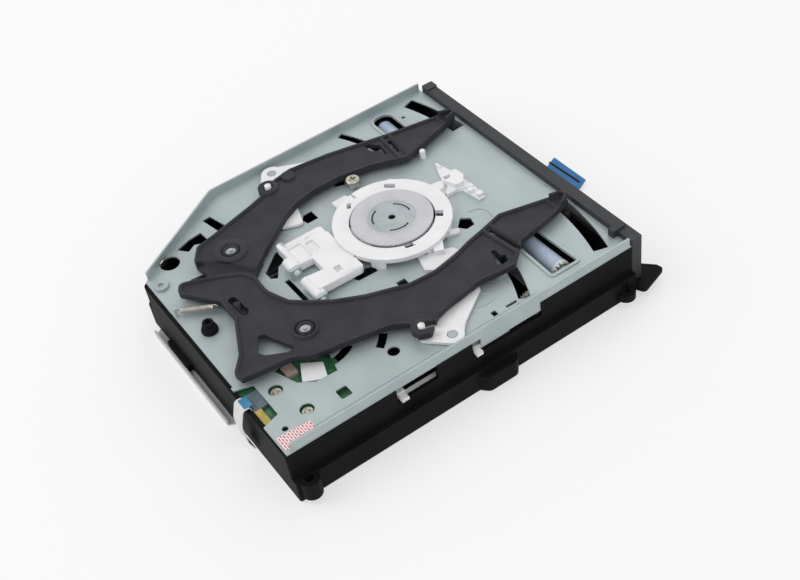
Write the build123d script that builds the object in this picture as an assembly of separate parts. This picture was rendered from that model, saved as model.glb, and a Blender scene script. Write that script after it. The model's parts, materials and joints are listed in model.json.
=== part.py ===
from build123d import *
import math
import os

# Slot-loading optical drive from a games console, lid off: a steel top plate with two black
# centring levers and a white magnetic clamp, over a black moulded chassis with a traverse,
# a feed roller and a cam slider inside.
# Millimetres. +Z is up, the slot faces -Y, and the origin is on the disc's spin axis in the
# plane that the bottom cover rests on. Left and right are as seen from the slot, looking in.
# Points named "across, back" are measured from the top plate's front left corner.

# Top plate
PLATE_WIDTH = 142.0
PLATE_DEPTH = 156.7
PLATE_REAR_STEP = 0.8
PLATE_SHEET = 0.8
PLATE_TOP = 24.0
FLANGE_HEIGHT = 4.0
CUT_SIDE_BACK = PLATE_DEPTH - 46.7
CUT_REAR_ACROSS = PLATE_WIDTH - 29.5
AXIS_ACROSS = 72.0
AXIS_BACK = 62.5
PLATE_UNDER = PLATE_TOP - PLATE_SHEET

# Clearances
GAP = 0.3
RUN = 0.05
SEAT = 0.02

# Chassis moulding
COVER_SHEET = 0.8
WALL = 1.6
FLOOR_LOW = 4.4
FLOOR_T = 1.6
FLOOR_TOP = FLOOR_LOW + FLOOR_T
LEDGE_TOP = 11.0
LEDGE_OUT = 2.7
WALL_OUT = 0.3
WELL_LEFT = 33.0
WELL_RIGHT = 111.0
WELL_FRONT = 47.0
WELL_BACK = 133.0

# Mounting ears
EAR_OUT = 3.5
EAR_HOLE_R = 1.6
EAR_R = 3.9
EAR_SEAT = 3.0
EAR_FRONT_BACK = 5.8
EAR_REAR_BACK = PLATE_DEPTH - 4.4
EAR_SIDE_BACK = CUT_SIDE_BACK - 10.0
EAR_FRONT_H = 3.2
EAR_REAR_H = 8.0

# Bezel and disc path
BEZEL_T = 5.2
BEZEL_LOW = 5.0
BEZEL_HIGH = 26.5
SLOT_WIDTH = 124.0
SLOT_LOW = 18.4
SLOT_HEIGHT = 4.6

# Centring levers
LEVER_RIGHT_PIVOT = (100.6, 122.0)
LEVER_LEFT_PIVOT = (43.0, 121.8)
LEVER_TRAVEL = 12.0
LEVER_LIFT = 2.0
LEVER_T = 3.0
LEVER_RIM = 1.2
LEVER_POCKET = 0.8
LEVER_LEFT_LIFT = 2.7
TONGUE_LIFT = 0.7
TONGUE_T = 1.6
NOSE_HEIGHT = 7.0
PIVOT_R = 2.2
PIVOT_BOSS_R = 5.3
LINK_PIN_R = 1.3
FEELER_R = 1.7
FEELER_DEPTH = 5.0
FEELER_PIN_R = 1.2
FEELER_RIGHT_ANGLE = 5.0
FEELER_LEFT_ANGLE = 4.4
GUIDE_RIGHT_ANGLE = 13.0
GUIDE_LEFT_ANGLE = 10.5

# Elbows under the levers
ELBOW_T = 1.3
ELBOW_LIFT = 0.35
ELBOW_PAD_R = 4.6
ELBOW_RIGHT_PIVOT = (PLATE_WIDTH - 6.6, 83.0)
ELBOW_RIGHT_PIN = (124.5, 90.5)
ELBOW_LEFT_PIVOT = (6.8, 80.6)
ELBOW_LEFT_PIN = (14.6, 88.6)
ELBOW_PIN_R = 1.4
ELBOW_RIGHT_RATIO = -3.05
ELBOW_LEFT_RATIO = 3.85

# Clamp
CLAMP_R = 16.86
CLAMP_HUB_R = 9.9
CLAMP_TOP = PLATE_TOP + 7.0
CLAMP_FLANGE_T = 1.6
CLAMP_FOOT_R = 12.5
CLAMP_FOOT = 22.6
CLAMP_CONE_R = 8.6
RING_R = 24.0
RING_IN_R = 17.5
RING_TOP = PLATE_TOP + 6.2
RING_ROOF = 0.8
CARRIER_T = 1.6
CARRIER_IN_R = 13.2
CARRIER_OUT_R = 16.6
PLATE_BORE_R = 18.4
ARM_HINGE_BACK = 107.8
ARM_HINGE_HEIGHT = PLATE_TOP + 3.2
ARM_PIN_R = 1.2

# Traverse: drawn raised and level, then lowered about its hinge
TRAVERSE_DROP = 2.57
HINGE_ACROSS = PLATE_WIDTH - 12.0
HINGE_HEIGHT = 9.0
HINGE_PIN_R = 1.5
DISC_SEAT = 20.4
FRAME_LOW = 12.4
FRAME_T = 4.0
DECK_LOW = 14.8
DECK_SHEET = 1.2
ROTOR_R = 11.0
TURNTABLE_R = 14.5
CONE_R = 7.35
ROD_R = 1.25
ROD_HEIGHT = 12.4
ROD_GAP = 46.0
SLED_TRAVEL = 34.0
SLED_FRONT = 79.9
SLED_DEPTH = 12.7
LENS_BACK = 86.5
LENS_R = 2.1

# Cam slider on the left wall
SLIDER_T = 2.2
SLIDER_TRAVEL = 12.0
SLIDER_FRONT = 59.0
SLIDER_BACK = 124.0
SLIDER_LOW = FLOOR_TOP + GAP
SLIDER_HIGH = 19.0
FOLLOWER_R = 1.2
FOLLOWERS_BACK = (66.0, 104.0)

# Feed roller and its gear train
ROLLER_BACK = 25.0
ROLLER_HEIGHT = 18.5
ROLLER_END_R = 4.0
ROLLER_MID_R = 3.2
ROLLER_SHAFT_R = 1.25
BRACKET_BACK = 32.1
BRACKET_HEIGHT = 8.2
GEAR_MODULE = 0.4
RACK_MODULE = 0.5
ROLLER_TEETH = 14
IDLER_TEETH = 8
MIDDLE_TEETH = 26
TRANSFER_SMALL = 20
TRANSFER_LARGE = 30
MOTOR_TEETH = 10
PINION_TEETH = 12
IDLER_ANGLE = 33.0
MIDDLE_ANGLE = -40.0
TRANSFER_ANGLE = -25.0
MOTOR_ANGLE = 0.0
MOTOR_R = 6.0
MOTOR_LENGTH = 18.0

nodes = {}

# Places, outlines and lesser sizes
# Slots that the lever feelers run in, as angles from straight ahead of each pivot
FRONT_SLOT = (2.8, 18.2)
FRONT_SLOT_R = (114.8, 121.0)
MID_SLOT_RIGHT = (12.0, 26.9)
MID_SLOT_RIGHT_R = (83.6, 87.0)
MID_SLOT_LEFT = (8.0, 27.4)
MID_SLOT_LEFT_R = (80.3, 85.0)

FEELER_REACH = (FRONT_SLOT_R[0] + FRONT_SLOT_R[1]) / 2
GUIDE_RIGHT_REACH = (MID_SLOT_RIGHT_R[0] + MID_SLOT_RIGHT_R[1]) / 2
GUIDE_LEFT_REACH = (MID_SLOT_LEFT_R[0] + MID_SLOT_LEFT_R[1]) / 2

WINDOW_RIGHT = [(108, 20.8), (137.6, 20.8, 4), (137.6, 30.2, 4), (108, 30.2)]
WINDOW_LEFT = [(7.6, 20.6, 0.6), (31, 21.4), (31, 32.2), (7.6, 32.8, 0.6)]
PLATE_HOLES = [
    ((116.3, 143.1), 4.16),
    ((15.6, 101.1), 2.4),
    ((28.3, 144.5), 2.77),
    ((13.1, 140.3), 2.77),
    ((10.5, 151.0), 1.2),
    ((130.0, 17.5), 0.9),
]
PLATE_CUTS = [
    [(8.5, 123.6, 0.8), (13.5, 123.6, 0.8), (13.5, 128.2, 0.8), (8.5, 128.2, 0.8)],
    [(121, 114.2), (131, 116.6), (131, 120.4), (120.4, 118.4)],
    [(116.5, 124.0), (124.6, 124.6), (124.0, 130.4), (121.6, 137.2), (117.2, 133.8), (119.4, 130.2)],
    [(97.6, 134.8), (101.2, 135.4), (101.8, 141.2), (99.2, 141.2)],
    [(98.2, 82.4), (104.2, 82.4), (104.2, 86.4), (101.4, 88.4), (98.2, 87.6)],
    [(51.0, 37.2), (55.2, 36.0), (58.0, 39.4), (54.0, 43.4), (50.8, 41.2)],
    [(99.8, 92.0), (101.2, 91.6), (104.2, 99.6), (102.6, 100.4)],
    [(55.0, 81.4), (59.0, 81.4), (61.6, 88.4), (58.6, 91.6), (55.4, 90.4)],
    [(41.4, 76.2), (44.6, 76.2), (44.6, 80.2), (41.4, 80.2)],
    [(78.4, 113.8), (84.0, 110.2), (87.2, 102.4), (92.4, 102.4), (92.0, 107.4), (84.4, 116.2), (80.0, 116.2)],
    [(58.0, 110.6), (75.0, 110.6), (75.0, 112.8), (58.0, 112.8)],
    [(108.6, 62.4), (113.4, 60.8), (114.2, 64.8), (110.4, 66.6)],
    [(36.0, 149.5), (18.0, 149.5), (15.6, PLATE_DEPTH + 1), (38.4, PLATE_DEPTH + 1)],
    [(21.4, 122.0), (32.0, 119.6), (38.4, 128.0), (37.0, 140.4), (26.2, 136.6), (22.0, 131.0)],
    [(5.4, 51.4), (6.6, 51.4), (6.6, 56.4), (5.4, 56.4)],
    [(5.0, 60.6), (7.6, 60.6), (7.6, 62.8), (5.0, 62.8)],
]
PLATE_ARCS = [
    (LEVER_LEFT_PIVOT, 14.8, 18.6, 172.0, 217.0),
    (LEVER_LEFT_PIVOT, 27.0, 30.4, 218.0, 234.0),
]
ARM_LUGS = [(53.0, 54.4), (72.6, 74.2)]
WALL_TAB = (45.0, 73.0)
WALL_TAB_DROP = 4.2
STEM_R = 0.9
RIVET_PLACE = (106.0, PLATE_DEPTH - 4.7)
POST_PLACE = (72.5, PLATE_DEPTH - 7.1)
SKEW_PLACE = (105.0, 60.4)
HOOK_PLACE = ((86.0, 87.6), (PLATE_DEPTH - 2.3, PLATE_DEPTH - 1.3))
HOOK_HEIGHT = 4.6
SPRING_ENDS = ((73.4, 142.2), (86.0, 152.6))
PEG_PLACE = (100.4, 27.6)
BOARD_SCREWS = ((28.3, PLATE_DEPTH - 12.2), (13.1, PLATE_DEPTH - 16.4))

RIGHT_POINTS = [
    (112.4, 2.8, 0.8), (114.6, 8.2), (117.5, 22.5), (119.4, 32.5), (123.8, 50.0), (126.3, 60.0),
    (128.8, 77.5, 5), (127.2, 86.0), (121.9, 95.0), (119.4, 102.5), (113.8, 123.8),
    (112.0, 131.6, 3), (104.8, 136.6, 2), (95.0, 135.0), (86.0, 133.0), (82.0, 122.0),
    (90.0, 112.5), (97.5, 102.5), (103.8, 93.8), (107.5, 86.3), (109.4, 76.3, 8), (109.4, 65.0),
    (106.5, 50.0), (100.2, 35.4, 3), (103.8, 22.5), (106.4, 13.8), (109.6, 3.2, 0.8),
]
LEFT_POINTS = [
    (34.6, 2.8, 0.8), (37.4, 3.4, 0.8), (41.9, 20.0), (44.6, 29.6, 4), (41.9, 40.0), (40.0, 48.8),
    (37.0, 57.5), (35.4, 67.5, 8), (36.3, 78.8), (42.5, 95.0), (48.8, 106.3), (55.0, 113.8),
    (60.0, 118.8), (70.0, 122.5, 10), (80.0, 121.9), (85.4, 124.2, 4), (90.0, 131.3), (94.6, 140.5),
    (97.4, 147.4, 2.6), (92.4, 150.2, 2.6), (84.6, 144.6), (77.0, 139.6), (66.0, 139.6),
    (47.6, 147.8), (40.6, 153.6, 0.8), (36.4, 152.8, 0.8), (33.4, 133.4), (28.8, 126.3, 4), (27.5, 118.8),
    (25.6, 108.8), (22.5, 96.3), (18.8, 91.2), (11.6, 92.4, 1.4), (9.4, 87.6, 1.4), (15.4, 80.4, 1.4),
    (16.9, 75.0), (19.4, 57.5), (18.1, 50.0), (17.5, 42.6, 3), (26.3, 32.5, 3), (28.1, 22.5),
    (30.0, 12.5), (31.9, 6.3),
]
LEFT_GAP = [(39.0, 137.0, 1.2), (46.4, 133.4, 3), (54.4, 136.0, 2), (44.6, 141.8, 3)]
LINK_PIN = ((LEVER_RIGHT_PIVOT[0] + LEVER_LEFT_PIVOT[0]) / 2, 135.2)
SWEEP_STEPS = 6

ELBOW_RIVET_R = 1.8

RING_WINGS = [
    [(52.0, 56.0), (42.0, 55.0), (38.6, 62.0), (41.0, 70.6), (50.0, 66.0)],
    [(92.0, 64.0), (98.0, 64.6), (98.6, 71.0), (90.0, 72.0)],
    [(80.0, 44.0), (76.0, 38.6), (69.0, 41.0), (70.0, 46.0)],
]
FINGER = (64.5, 79.5)

REAR_OUT = 0.8
FOOT_OUT = WALL_OUT + LEDGE_OUT
EAR_LEFT_FRONT = (-EAR_OUT, EAR_FRONT_BACK)
EAR_LEFT_REAR = (-EAR_OUT, EAR_REAR_BACK)
EAR_RIGHT_FRONT = (PLATE_WIDTH + EAR_OUT, EAR_FRONT_BACK)
EAR_RIGHT_REAR = (PLATE_WIDTH + EAR_OUT, EAR_SIDE_BACK)
CABLE_EXIT = (44.0, 74.0)
SLIDER_WINDOWS = [(45.0, 77.0), (93.0, 111.0)]
WINDOW_DROP = 6.6
COVER_SCREWS = [(14, 14), (PLATE_WIDTH - 14, 14), (8, 112), (104, PLATE_DEPTH - 8.7)]
SCREW_R = 1.0
BOARD_LOW = 20.4
BOARD_T = 1.2
MAIN_BOARD_LOW = 2.2
MAIN_BOARD_TOP = MAIN_BOARD_LOW + 1.2
MAIN_BOARD_PADS = [(20, 24), (PLATE_WIDTH - 22, 24), (20, PLATE_DEPTH - 18.7), (PLATE_WIDTH - 24, 106)]
AXLE_R = 0.6
GEAR_LEFT = 7.6
GEAR_T = 1.8
BEZEL_LEFT = -0.5
BEZEL_RIGHT = PLATE_WIDTH - 2.6
SLIDER_LEFT = WALL - WALL_OUT + GAP
SLIDER_GUIDES = [(82, 86), (117, 120)]
HINGE_LUGS = [(46, 49.7), (56.3, 60), (94, 97.7), (104.3, 108)]
HINGE_BARRELS = [(50, 56), (98, 104)]
BRACKET_LUGS = [(13.0, 16.0), (PLATE_WIDTH - 10.6, PLATE_WIDTH - 7.6)]
BRACKET_PIN_R = 1.2

ROLLER_AXIS = (ROLLER_BACK, ROLLER_HEIGHT)

MOTOR_LEFT = 13.4

LARGE_LEFT = 10.0

SLEEVE_LEFT = (12.2, 70.0)
SLEEVE_RIGHT = (74.0, PLATE_WIDTH - 6.6)
EAR_SHEETS = [(10.2, 11.0), (PLATE_WIDTH - 5.4, PLATE_WIDTH - 4.6)]
BUSH_R = 2.1

RACK_FRONT = 37.0
TAB_PLACES = [(73.6, 76.4), (107.0, 110.0)]

DAMPERS = [(47.0, 53.5), (99.6, 53.5), (49.0, 134.4), (95.0, 134.4)]
DAMPER_TABS = [
    ((40, 52), (46, 58.5)),
    ((94.6, 107), (46, 58.5)),
    ((44, 54), (130.6, 140)),
    ((90, 100), (130.6, 140)),
]
ROD_LEFT = AXIS_ACROSS - ROD_GAP / 2
ROD_RIGHT = AXIS_ACROSS + ROD_GAP / 2
SCREW_ACROSS = 100.4
SCREW_HEIGHT = 11.6
SCREW_OUT_R = 1.4

CHIP_PLACES = [
    ((58, 76), (60, 78), 1.4),
    ((40, 52), (84, 96), 1.2),
    ((84, 98), (96, 106), 1.2),
    ((60, 66), (100, 106), 1.0),
    ((40, 48), (60, 66), 1.0),
]

CABLE_T = 0.3
CABLE_HEIGHT = 1.3

LATCH_BASE = [(59.0, 26.4), (89.0, 27.0), (89.0, 28.8), (60.0, 28.8)]
LATCH_PIECES = [
    ([(70.4, 24.6), (83.4, 24.6), (84.0, 30.4), (79.0, 37.6), (71.6, 36.6)], 4.2),
    ([(58.4, 25.4), (69.0, 25.4), (69.0, 29.0), (60.4, 31.6)], 2.6),
    ([(84.6, 26.6), (90.6, 26.6), (90.6, 29.4), (84.6, 29.4)], 1.4),
]


def at(across, back):
    """Model x, y of a point given from the top plate's front left corner."""
    return (across - AXIS_ACROSS, back - AXIS_BACK)


def face_of(points):
    """Flat face through (across, back) points; a third number rounds that corner."""
    corners = [at(p[0], p[1]) for p in points]
    radii = [p[2] if len(p) > 2 else 0 for p in points]
    if any(radii):
        return make_face(FilletPolyline(*corners, radius=radii, close=True))
    return make_face(Polyline(*corners, close=True))


def slab(shape, low, high):
    """Plate-like solid on a flat face, between two heights."""
    return Pos(0, 0, low) * extrude(shape, high - low)


def block(across, back, heights, corner=0):
    """Upright block between two values each way, its upright edges rounded."""
    points = [
        (across[0], back[0], corner),
        (across[1], back[0], corner),
        (across[1], back[1], corner),
        (across[0], back[1], corner),
    ]
    return slab(face_of(points), heights[0], heights[1])


def rod(centre, radius, low, high):
    """Upright round bar."""
    x, y = at(*centre)
    return Pos(x, y, low) * Cylinder(radius, high - low, align=(Align.CENTER, Align.CENTER, Align.MIN))


def bar(across, back, height, radius):
    """Round bar along X, between two values across."""
    x, y = at(across[0], back)
    lying = Rot(0, 90, 0) * Cylinder(
        radius, across[1] - across[0], align=(Align.CENTER, Align.CENTER, Align.MIN)
    )
    return Pos(x, y, height) * lying


def bar_back(across, back, height, radius):
    """Round bar along Y, between two values back."""
    x, y = at(across, back[0])
    lying = Rot(-90, 0, 0) * Cylinder(
        radius, back[1] - back[0], align=(Align.CENTER, Align.CENTER, Align.MIN)
    )
    return Pos(x, y, height) * lying


def sector(centre, inner, outer, start, end):
    """Ring sector about a point; angles in degrees from +X, turning towards +Y."""
    x, y = at(*centre)

    def point(radius, angle):
        turn = math.radians(angle)
        return (x + radius * math.cos(turn), y + radius * math.sin(turn))

    middle = (start + end) / 2
    edges = [
        ThreePointArc(point(outer, start), point(outer, middle), point(outer, end)),
        Line(point(outer, end), point(inner, end)),
        ThreePointArc(point(inner, end), point(inner, middle), point(inner, start)),
        Line(point(inner, start), point(outer, start)),
    ]
    return make_face(edges)


def turned(point, centre, degrees):
    """A point turned about a centre, in plate points."""
    turn = math.radians(degrees)
    dx = point[0] - centre[0]
    dy = point[1] - centre[1]
    return (
        centre[0] + dx * math.cos(turn) - dy * math.sin(turn),
        centre[1] + dx * math.sin(turn) + dy * math.cos(turn),
    )


def turn_shape(shape, centre, degrees):
    """A shape turned about an upright axis through a plate point."""
    x, y = at(*centre)
    return Pos(x, y, 0) * Rot(0, 0, degrees) * Pos(-x, -y, 0) * shape


def swept_slot(points, radius, low, high):
    """Slot that a round pin clears on its way through the points."""
    slot = rod(points[0], radius, low, high)
    for start, end in zip(points, points[1:]):
        run = math.dist(start, end)
        heading = math.degrees(math.atan2(end[1] - start[1], end[0] - start[0]))
        x, y = at((start[0] + end[0]) / 2, (start[1] + end[1]) / 2)
        slot += rod(end, radius, low, high)
        slot += Pos(x, y, (low + high) / 2) * Rot(0, 0, heading) * Box(run, 2 * radius, high - low)
    return slot


def gear(teeth, module, width, bore=0.0, phase=0.0):
    """Spur gear along +X from x = 0, in the YZ plane; phase turns it about its axis."""
    pitch_r = teeth * module / 2
    tip_r = pitch_r + 0.85 * module
    root_r = pitch_r - 1.15 * module
    step = 360 / teeth
    points = []
    for tooth in range(teeth):
        middle = tooth * step + phase
        for radius, share in ((root_r, -0.32), (tip_r, -0.13), (tip_r, 0.13), (root_r, 0.32)):
            turn = math.radians(middle + share * step)
            points.append((radius * math.cos(turn), radius * math.sin(turn)))
    flat = make_face(Polyline(*points, close=True))
    wheel = extrude(flat, width)
    if bore:
        wheel -= Cylinder(bore, 3 * width)
    return Plane.YZ.location * wheel


def mesh_phase(driver_phase, driver_teeth, driven_teeth, heading):
    """Phase of a driven gear that meshes with its driver, which lies at heading from it."""
    driver = (heading - driver_phase) * driver_teeth / 360
    return heading + 180 - (0.5 - driver) * 360 / driven_teeth


def add(name, shape):
    """Keep a finished piece under its node name."""
    nodes[name] = shape


def lowered(shape):
    """A traverse piece, drawn raised and level, at its rest place."""
    x, _ = at(HINGE_ACROSS, 0)
    return Pos(x, 0, HINGE_HEIGHT) * Rot(0, -TRAVERSE_DROP, 0) * Pos(-x, 0, -HINGE_HEIGHT) * shape


# Outline of the top plate, and the same line moved outwards for the chassis wall
def plate_points(out=0.0):
    slope = math.atan2(PLATE_DEPTH - CUT_SIDE_BACK, PLATE_WIDTH - CUT_REAR_ACROSS)
    lean = out * math.tan((math.pi / 2 - slope) / 2)
    rear_lean = out * math.tan(slope / 2)
    return [
        (-out, 0),
        (PLATE_WIDTH + out, 0),
        (PLATE_WIDTH + out, CUT_SIDE_BACK + lean, 4),
        (CUT_REAR_ACROSS + rear_lean, PLATE_DEPTH + out, 4),
        (-out, PLATE_DEPTH + out),
    ]


def plate_face(out=0.0, front=0.0):
    """Plate outline moved out by some distance, its front edge moved forward."""
    points = plate_points(out)
    points[0] = (points[0][0], -front)
    points[1] = (points[1][0], -front)
    return face_of(points)


def make_plate():
    sheet = slab(plate_face(), PLATE_UNDER, PLATE_TOP)
    rim = slab(plate_face(), PLATE_UNDER, PLATE_TOP + FLANGE_HEIGHT)
    rim -= slab(plate_face(-PLATE_SHEET), PLATE_TOP, PLATE_TOP + FLANGE_HEIGHT)
    above = (PLATE_TOP, PLATE_TOP + FLANGE_HEIGHT)
    rim -= block((-1, PLATE_WIDTH + 1), (-1, 0.8), above)
    rim -= block((-1, CUT_REAR_ACROSS + 2), (PLATE_DEPTH - 2.2, PLATE_DEPTH + 1), above)
    plate = sheet + rim
    through = (PLATE_UNDER - 1, PLATE_TOP + 1)

    def cut(shape):
        nonlocal plate
        plate -= slab(shape, *through)

    cut(face_of([(40, PLATE_DEPTH - PLATE_REAR_STEP), (120, PLATE_DEPTH - PLATE_REAR_STEP),
                 (120, PLATE_DEPTH + 1), (40, PLATE_DEPTH + 1)]))
    cut(sector(LEVER_RIGHT_PIVOT, *FRONT_SLOT_R, -90 + FRONT_SLOT[0], -90 + FRONT_SLOT[1]))
    cut(sector(LEVER_LEFT_PIVOT, *FRONT_SLOT_R, -90 - FRONT_SLOT[1], -90 - FRONT_SLOT[0]))
    cut(sector(LEVER_RIGHT_PIVOT, *MID_SLOT_RIGHT_R, -90 + MID_SLOT_RIGHT[0], -90 + MID_SLOT_RIGHT[1]))
    cut(sector(LEVER_LEFT_PIVOT, *MID_SLOT_LEFT_R, -90 - MID_SLOT_LEFT[1], -90 - MID_SLOT_LEFT[0]))
    cut(Circle(PLATE_BORE_R))
    for window in (WINDOW_RIGHT, WINDOW_LEFT):
        cut(face_of(window))
    for centre, radius in PLATE_HOLES:
        cut(Pos(*at(*centre), 0) * Circle(radius))
    for shape in PLATE_CUTS:
        cut(face_of(shape))
    for centre, inner, outer, start, end in PLATE_ARCS:
        cut(sector(centre, inner, outer, start, end))
    for centre in (LEVER_RIGHT_PIVOT, LEVER_LEFT_PIVOT):
        cut(Pos(*at(*centre), 0) * Circle(PIVOT_R + SEAT))
    for centre in (ELBOW_RIGHT_PIVOT, ELBOW_LEFT_PIVOT, RIVET_PLACE, POST_PLACE, SKEW_PLACE, PEG_PLACE):
        cut(Pos(*at(*centre), 0) * Circle(STEM_R + SEAT))
    for window in (WINDOW_RIGHT, WINDOW_LEFT):
        frame = offset(face_of(window), 1.3) - face_of(window)
        plate += slab(frame, PLATE_TOP, PLATE_TOP + 0.5)
    plate += block((0, PLATE_SHEET), WALL_TAB, (PLATE_UNDER - WALL_TAB_DROP, PLATE_UNDER))
    for hinge in ARM_LUGS:
        plate += block(hinge, (ARM_HINGE_BACK - 2.4, ARM_HINGE_BACK + 2.4),
                       (PLATE_TOP, ARM_HINGE_HEIGHT + 1.9))
    plate -= bar((40, 90), ARM_HINGE_BACK, ARM_HINGE_HEIGHT, ARM_PIN_R + RUN)
    plate += block(*HOOK_PLACE, (PLATE_TOP, PLATE_TOP + HOOK_HEIGHT))
    return plate


def ahead(pivot, reach, angle, side):
    """Point at some reach ahead of a lever's pivot, turned to the right or left side."""
    turn = math.radians(angle)
    return (pivot[0] + side * reach * math.sin(turn), pivot[1] - reach * math.cos(turn))


FEELER_RIGHT = ahead(LEVER_RIGHT_PIVOT, FEELER_REACH, FEELER_RIGHT_ANGLE, 1)
FEELER_LEFT = ahead(LEVER_LEFT_PIVOT, FEELER_REACH, FEELER_LEFT_ANGLE, -1)
GUIDE_RIGHT = ahead(LEVER_RIGHT_PIVOT, GUIDE_RIGHT_REACH, GUIDE_RIGHT_ANGLE, 1)
GUIDE_LEFT = ahead(LEVER_LEFT_PIVOT, GUIDE_LEFT_REACH, GUIDE_LEFT_ANGLE, -1)


# Centring levers


def lever_shell(points, low, top):
    """Lever body: a floor with a raised rim round its outline."""
    whole = face_of(points)
    pocket = offset(whole, -LEVER_RIM, kind=Kind.INTERSECTION)
    return slab(whole, low, top) - slab(pocket, top - LEVER_POCKET, top + 1)


def cross_ribs(points, spans, low, top):
    """Ribs across a lever's pocket, trimmed to its outline."""
    ribs = None
    for span in spans:
        rib = slab(face_of(span), low, top) & slab(face_of(points), low, top)
        ribs = rib if ribs is None else ribs + rib
    return ribs


def lever_slots(lever, pivot, elbow_pivot, elbow_pin, ratio, sense, low, top):
    """Opening that the elbow's pin clears while lever and elbow both turn."""
    path = []
    for step in range(SWEEP_STEPS + 1):
        swing = sense * LEVER_TRAVEL * step / SWEEP_STEPS
        pin = turned(elbow_pin, elbow_pivot, abs(ratio) * -swing)
        path.append(turned(pin, pivot, -swing))
    return lever - swept_slot(path, ELBOW_PIN_R + GAP, low - 1, top + 1), path


def make_right_lever():
    low = PLATE_TOP + LEVER_LIFT
    top = low + LEVER_T
    body = lever_shell(RIGHT_POINTS, low, top)
    body += cross_ribs(RIGHT_POINTS, [[(90, 34.2), (130, 30.6), (130, 32), (90, 35.6)],
                                      [(90, 38.2), (130, 34.6), (130, 36), (90, 39.6)]], low, top)
    body += cross_ribs(RIGHT_POINTS, [[(90, 9.6), (130, 9.6), (130, 10.8), (90, 10.8)]], low, top)
    nose = slab(face_of(RIGHT_POINTS), low, PLATE_TOP + NOSE_HEIGHT)
    nose &= block((100, 120), (0, 8.6), (low, PLATE_TOP + NOSE_HEIGHT))
    hollow = offset(face_of(RIGHT_POINTS), -1.0, kind=Kind.INTERSECTION)
    nose -= slab(hollow, low + 1.4, PLATE_TOP + NOSE_HEIGHT + 1)
    body += nose
    body += rod(ELBOW_RIGHT_PIN, 4.4, low, top)
    body += rod(LEVER_RIGHT_PIVOT, PIVOT_BOSS_R + 1.6, low, top)
    # The other lever's tail passes over this one, so its swept path is cut down to the tongue
    tail = offset(face_of(LEFT_POINTS), GAP + 0.2, kind=Kind.INTERSECTION)
    for step in range(SWEEP_STEPS + 1):
        swing = LEVER_TRAVEL * step / SWEEP_STEPS
        passed = turn_shape(tail, LEVER_LEFT_PIVOT, -swing)
        passed = turn_shape(passed, LEVER_RIGHT_PIVOT, -swing)
        body -= slab(passed, PLATE_TOP + TONGUE_LIFT + TONGUE_T, top + NOSE_HEIGHT)
    base = slab(face_of(RIGHT_POINTS), PLATE_TOP + TONGUE_LIFT, PLATE_TOP + TONGUE_LIFT + TONGUE_T)
    base &= block((60, 125), (110, 140), (PLATE_TOP, top))
    tongue = [(90, 124.4), (76, 129.6, 3), (67.4, 131.4, 3.4), (67.4, 138.8, 3.4), (78, 138.4, 3), (97, 136)]
    base += slab(face_of(tongue), PLATE_TOP + TONGUE_LIFT, PLATE_TOP + TONGUE_LIFT + TONGUE_T)
    body += base
    body += rod(LEVER_RIGHT_PIVOT, PIVOT_BOSS_R, PLATE_TOP + TONGUE_LIFT, top)
    body += rod(LINK_PIN, LINK_PIN_R, PLATE_TOP + TONGUE_LIFT, top)
    body -= rod(LEVER_RIGHT_PIVOT, PIVOT_BOSS_R - 1.2, top - 1.0, top + 1)
    body += rod(LEVER_RIGHT_PIVOT, PIVOT_R + 1.0, top - 1.2, top)
    body -= rod(LEVER_RIGHT_PIVOT, PIVOT_R + RUN, PLATE_TOP, top + 1)
    body, _ = lever_slots(body, LEVER_RIGHT_PIVOT, ELBOW_RIGHT_PIVOT, ELBOW_RIGHT_PIN,
                          ELBOW_RIGHT_RATIO, 1, low, top)
    body += feeler(FEELER_RIGHT, low)
    body += rod(GUIDE_RIGHT, FEELER_PIN_R, PLATE_TOP - 2, low + 1)
    return body


def make_left_lever():
    low = PLATE_TOP + LEVER_LEFT_LIFT
    top = low + LEVER_T - 0.4
    body = lever_shell(LEFT_POINTS, low, top)
    body += cross_ribs(LEFT_POINTS, [[(20, 32.4), (50, 36.4), (50, 37.8), (20, 33.8)],
                                     [(20, 36.6), (50, 40.6), (50, 42.0), (20, 38.0)],
                                     [(20, 9.6), (50, 9.6), (50, 10.8), (20, 10.8)]], low, top)
    nose = slab(face_of(LEFT_POINTS), low, PLATE_TOP + NOSE_HEIGHT)
    nose &= block((28, 48), (0, 8.6), (low, PLATE_TOP + NOSE_HEIGHT))
    hollow = offset(face_of(LEFT_POINTS), -1.0, kind=Kind.INTERSECTION)
    nose -= slab(hollow, low + 1.4, PLATE_TOP + NOSE_HEIGHT + 1)
    body += nose
    body -= slab(face_of(LEFT_GAP), low - 1, top + 1)
    body += rod(LEVER_LEFT_PIVOT, PIVOT_BOSS_R, PLATE_TOP + GAP, top)
    body += rod(ELBOW_LEFT_PIN, 4.0, low, top)
    link_path = []
    for step in range(SWEEP_STEPS + 1):
        swing = LEVER_TRAVEL * step / SWEEP_STEPS
        pin = turned(LINK_PIN, LEVER_RIGHT_PIVOT, swing)
        link_path.append(turned(pin, LEVER_LEFT_PIVOT, swing))
    body -= swept_slot(link_path, LINK_PIN_R + GAP, low - 1, top + 1)
    body -= rod(LEVER_LEFT_PIVOT, PIVOT_BOSS_R - 1.2, top - 1.0, top + 1)
    body += rod(LEVER_LEFT_PIVOT, PIVOT_R + 1.0, top - 1.2, top)
    body -= rod(LEVER_LEFT_PIVOT, PIVOT_R + RUN, PLATE_TOP, top + 1)
    body, _ = lever_slots(body, LEVER_LEFT_PIVOT, ELBOW_LEFT_PIVOT, ELBOW_LEFT_PIN,
                          ELBOW_LEFT_RATIO, -1, low, top)
    body += feeler(FEELER_LEFT, low)
    body += rod(GUIDE_LEFT, FEELER_PIN_R, PLATE_TOP - 2, low + 1)
    return body


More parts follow.
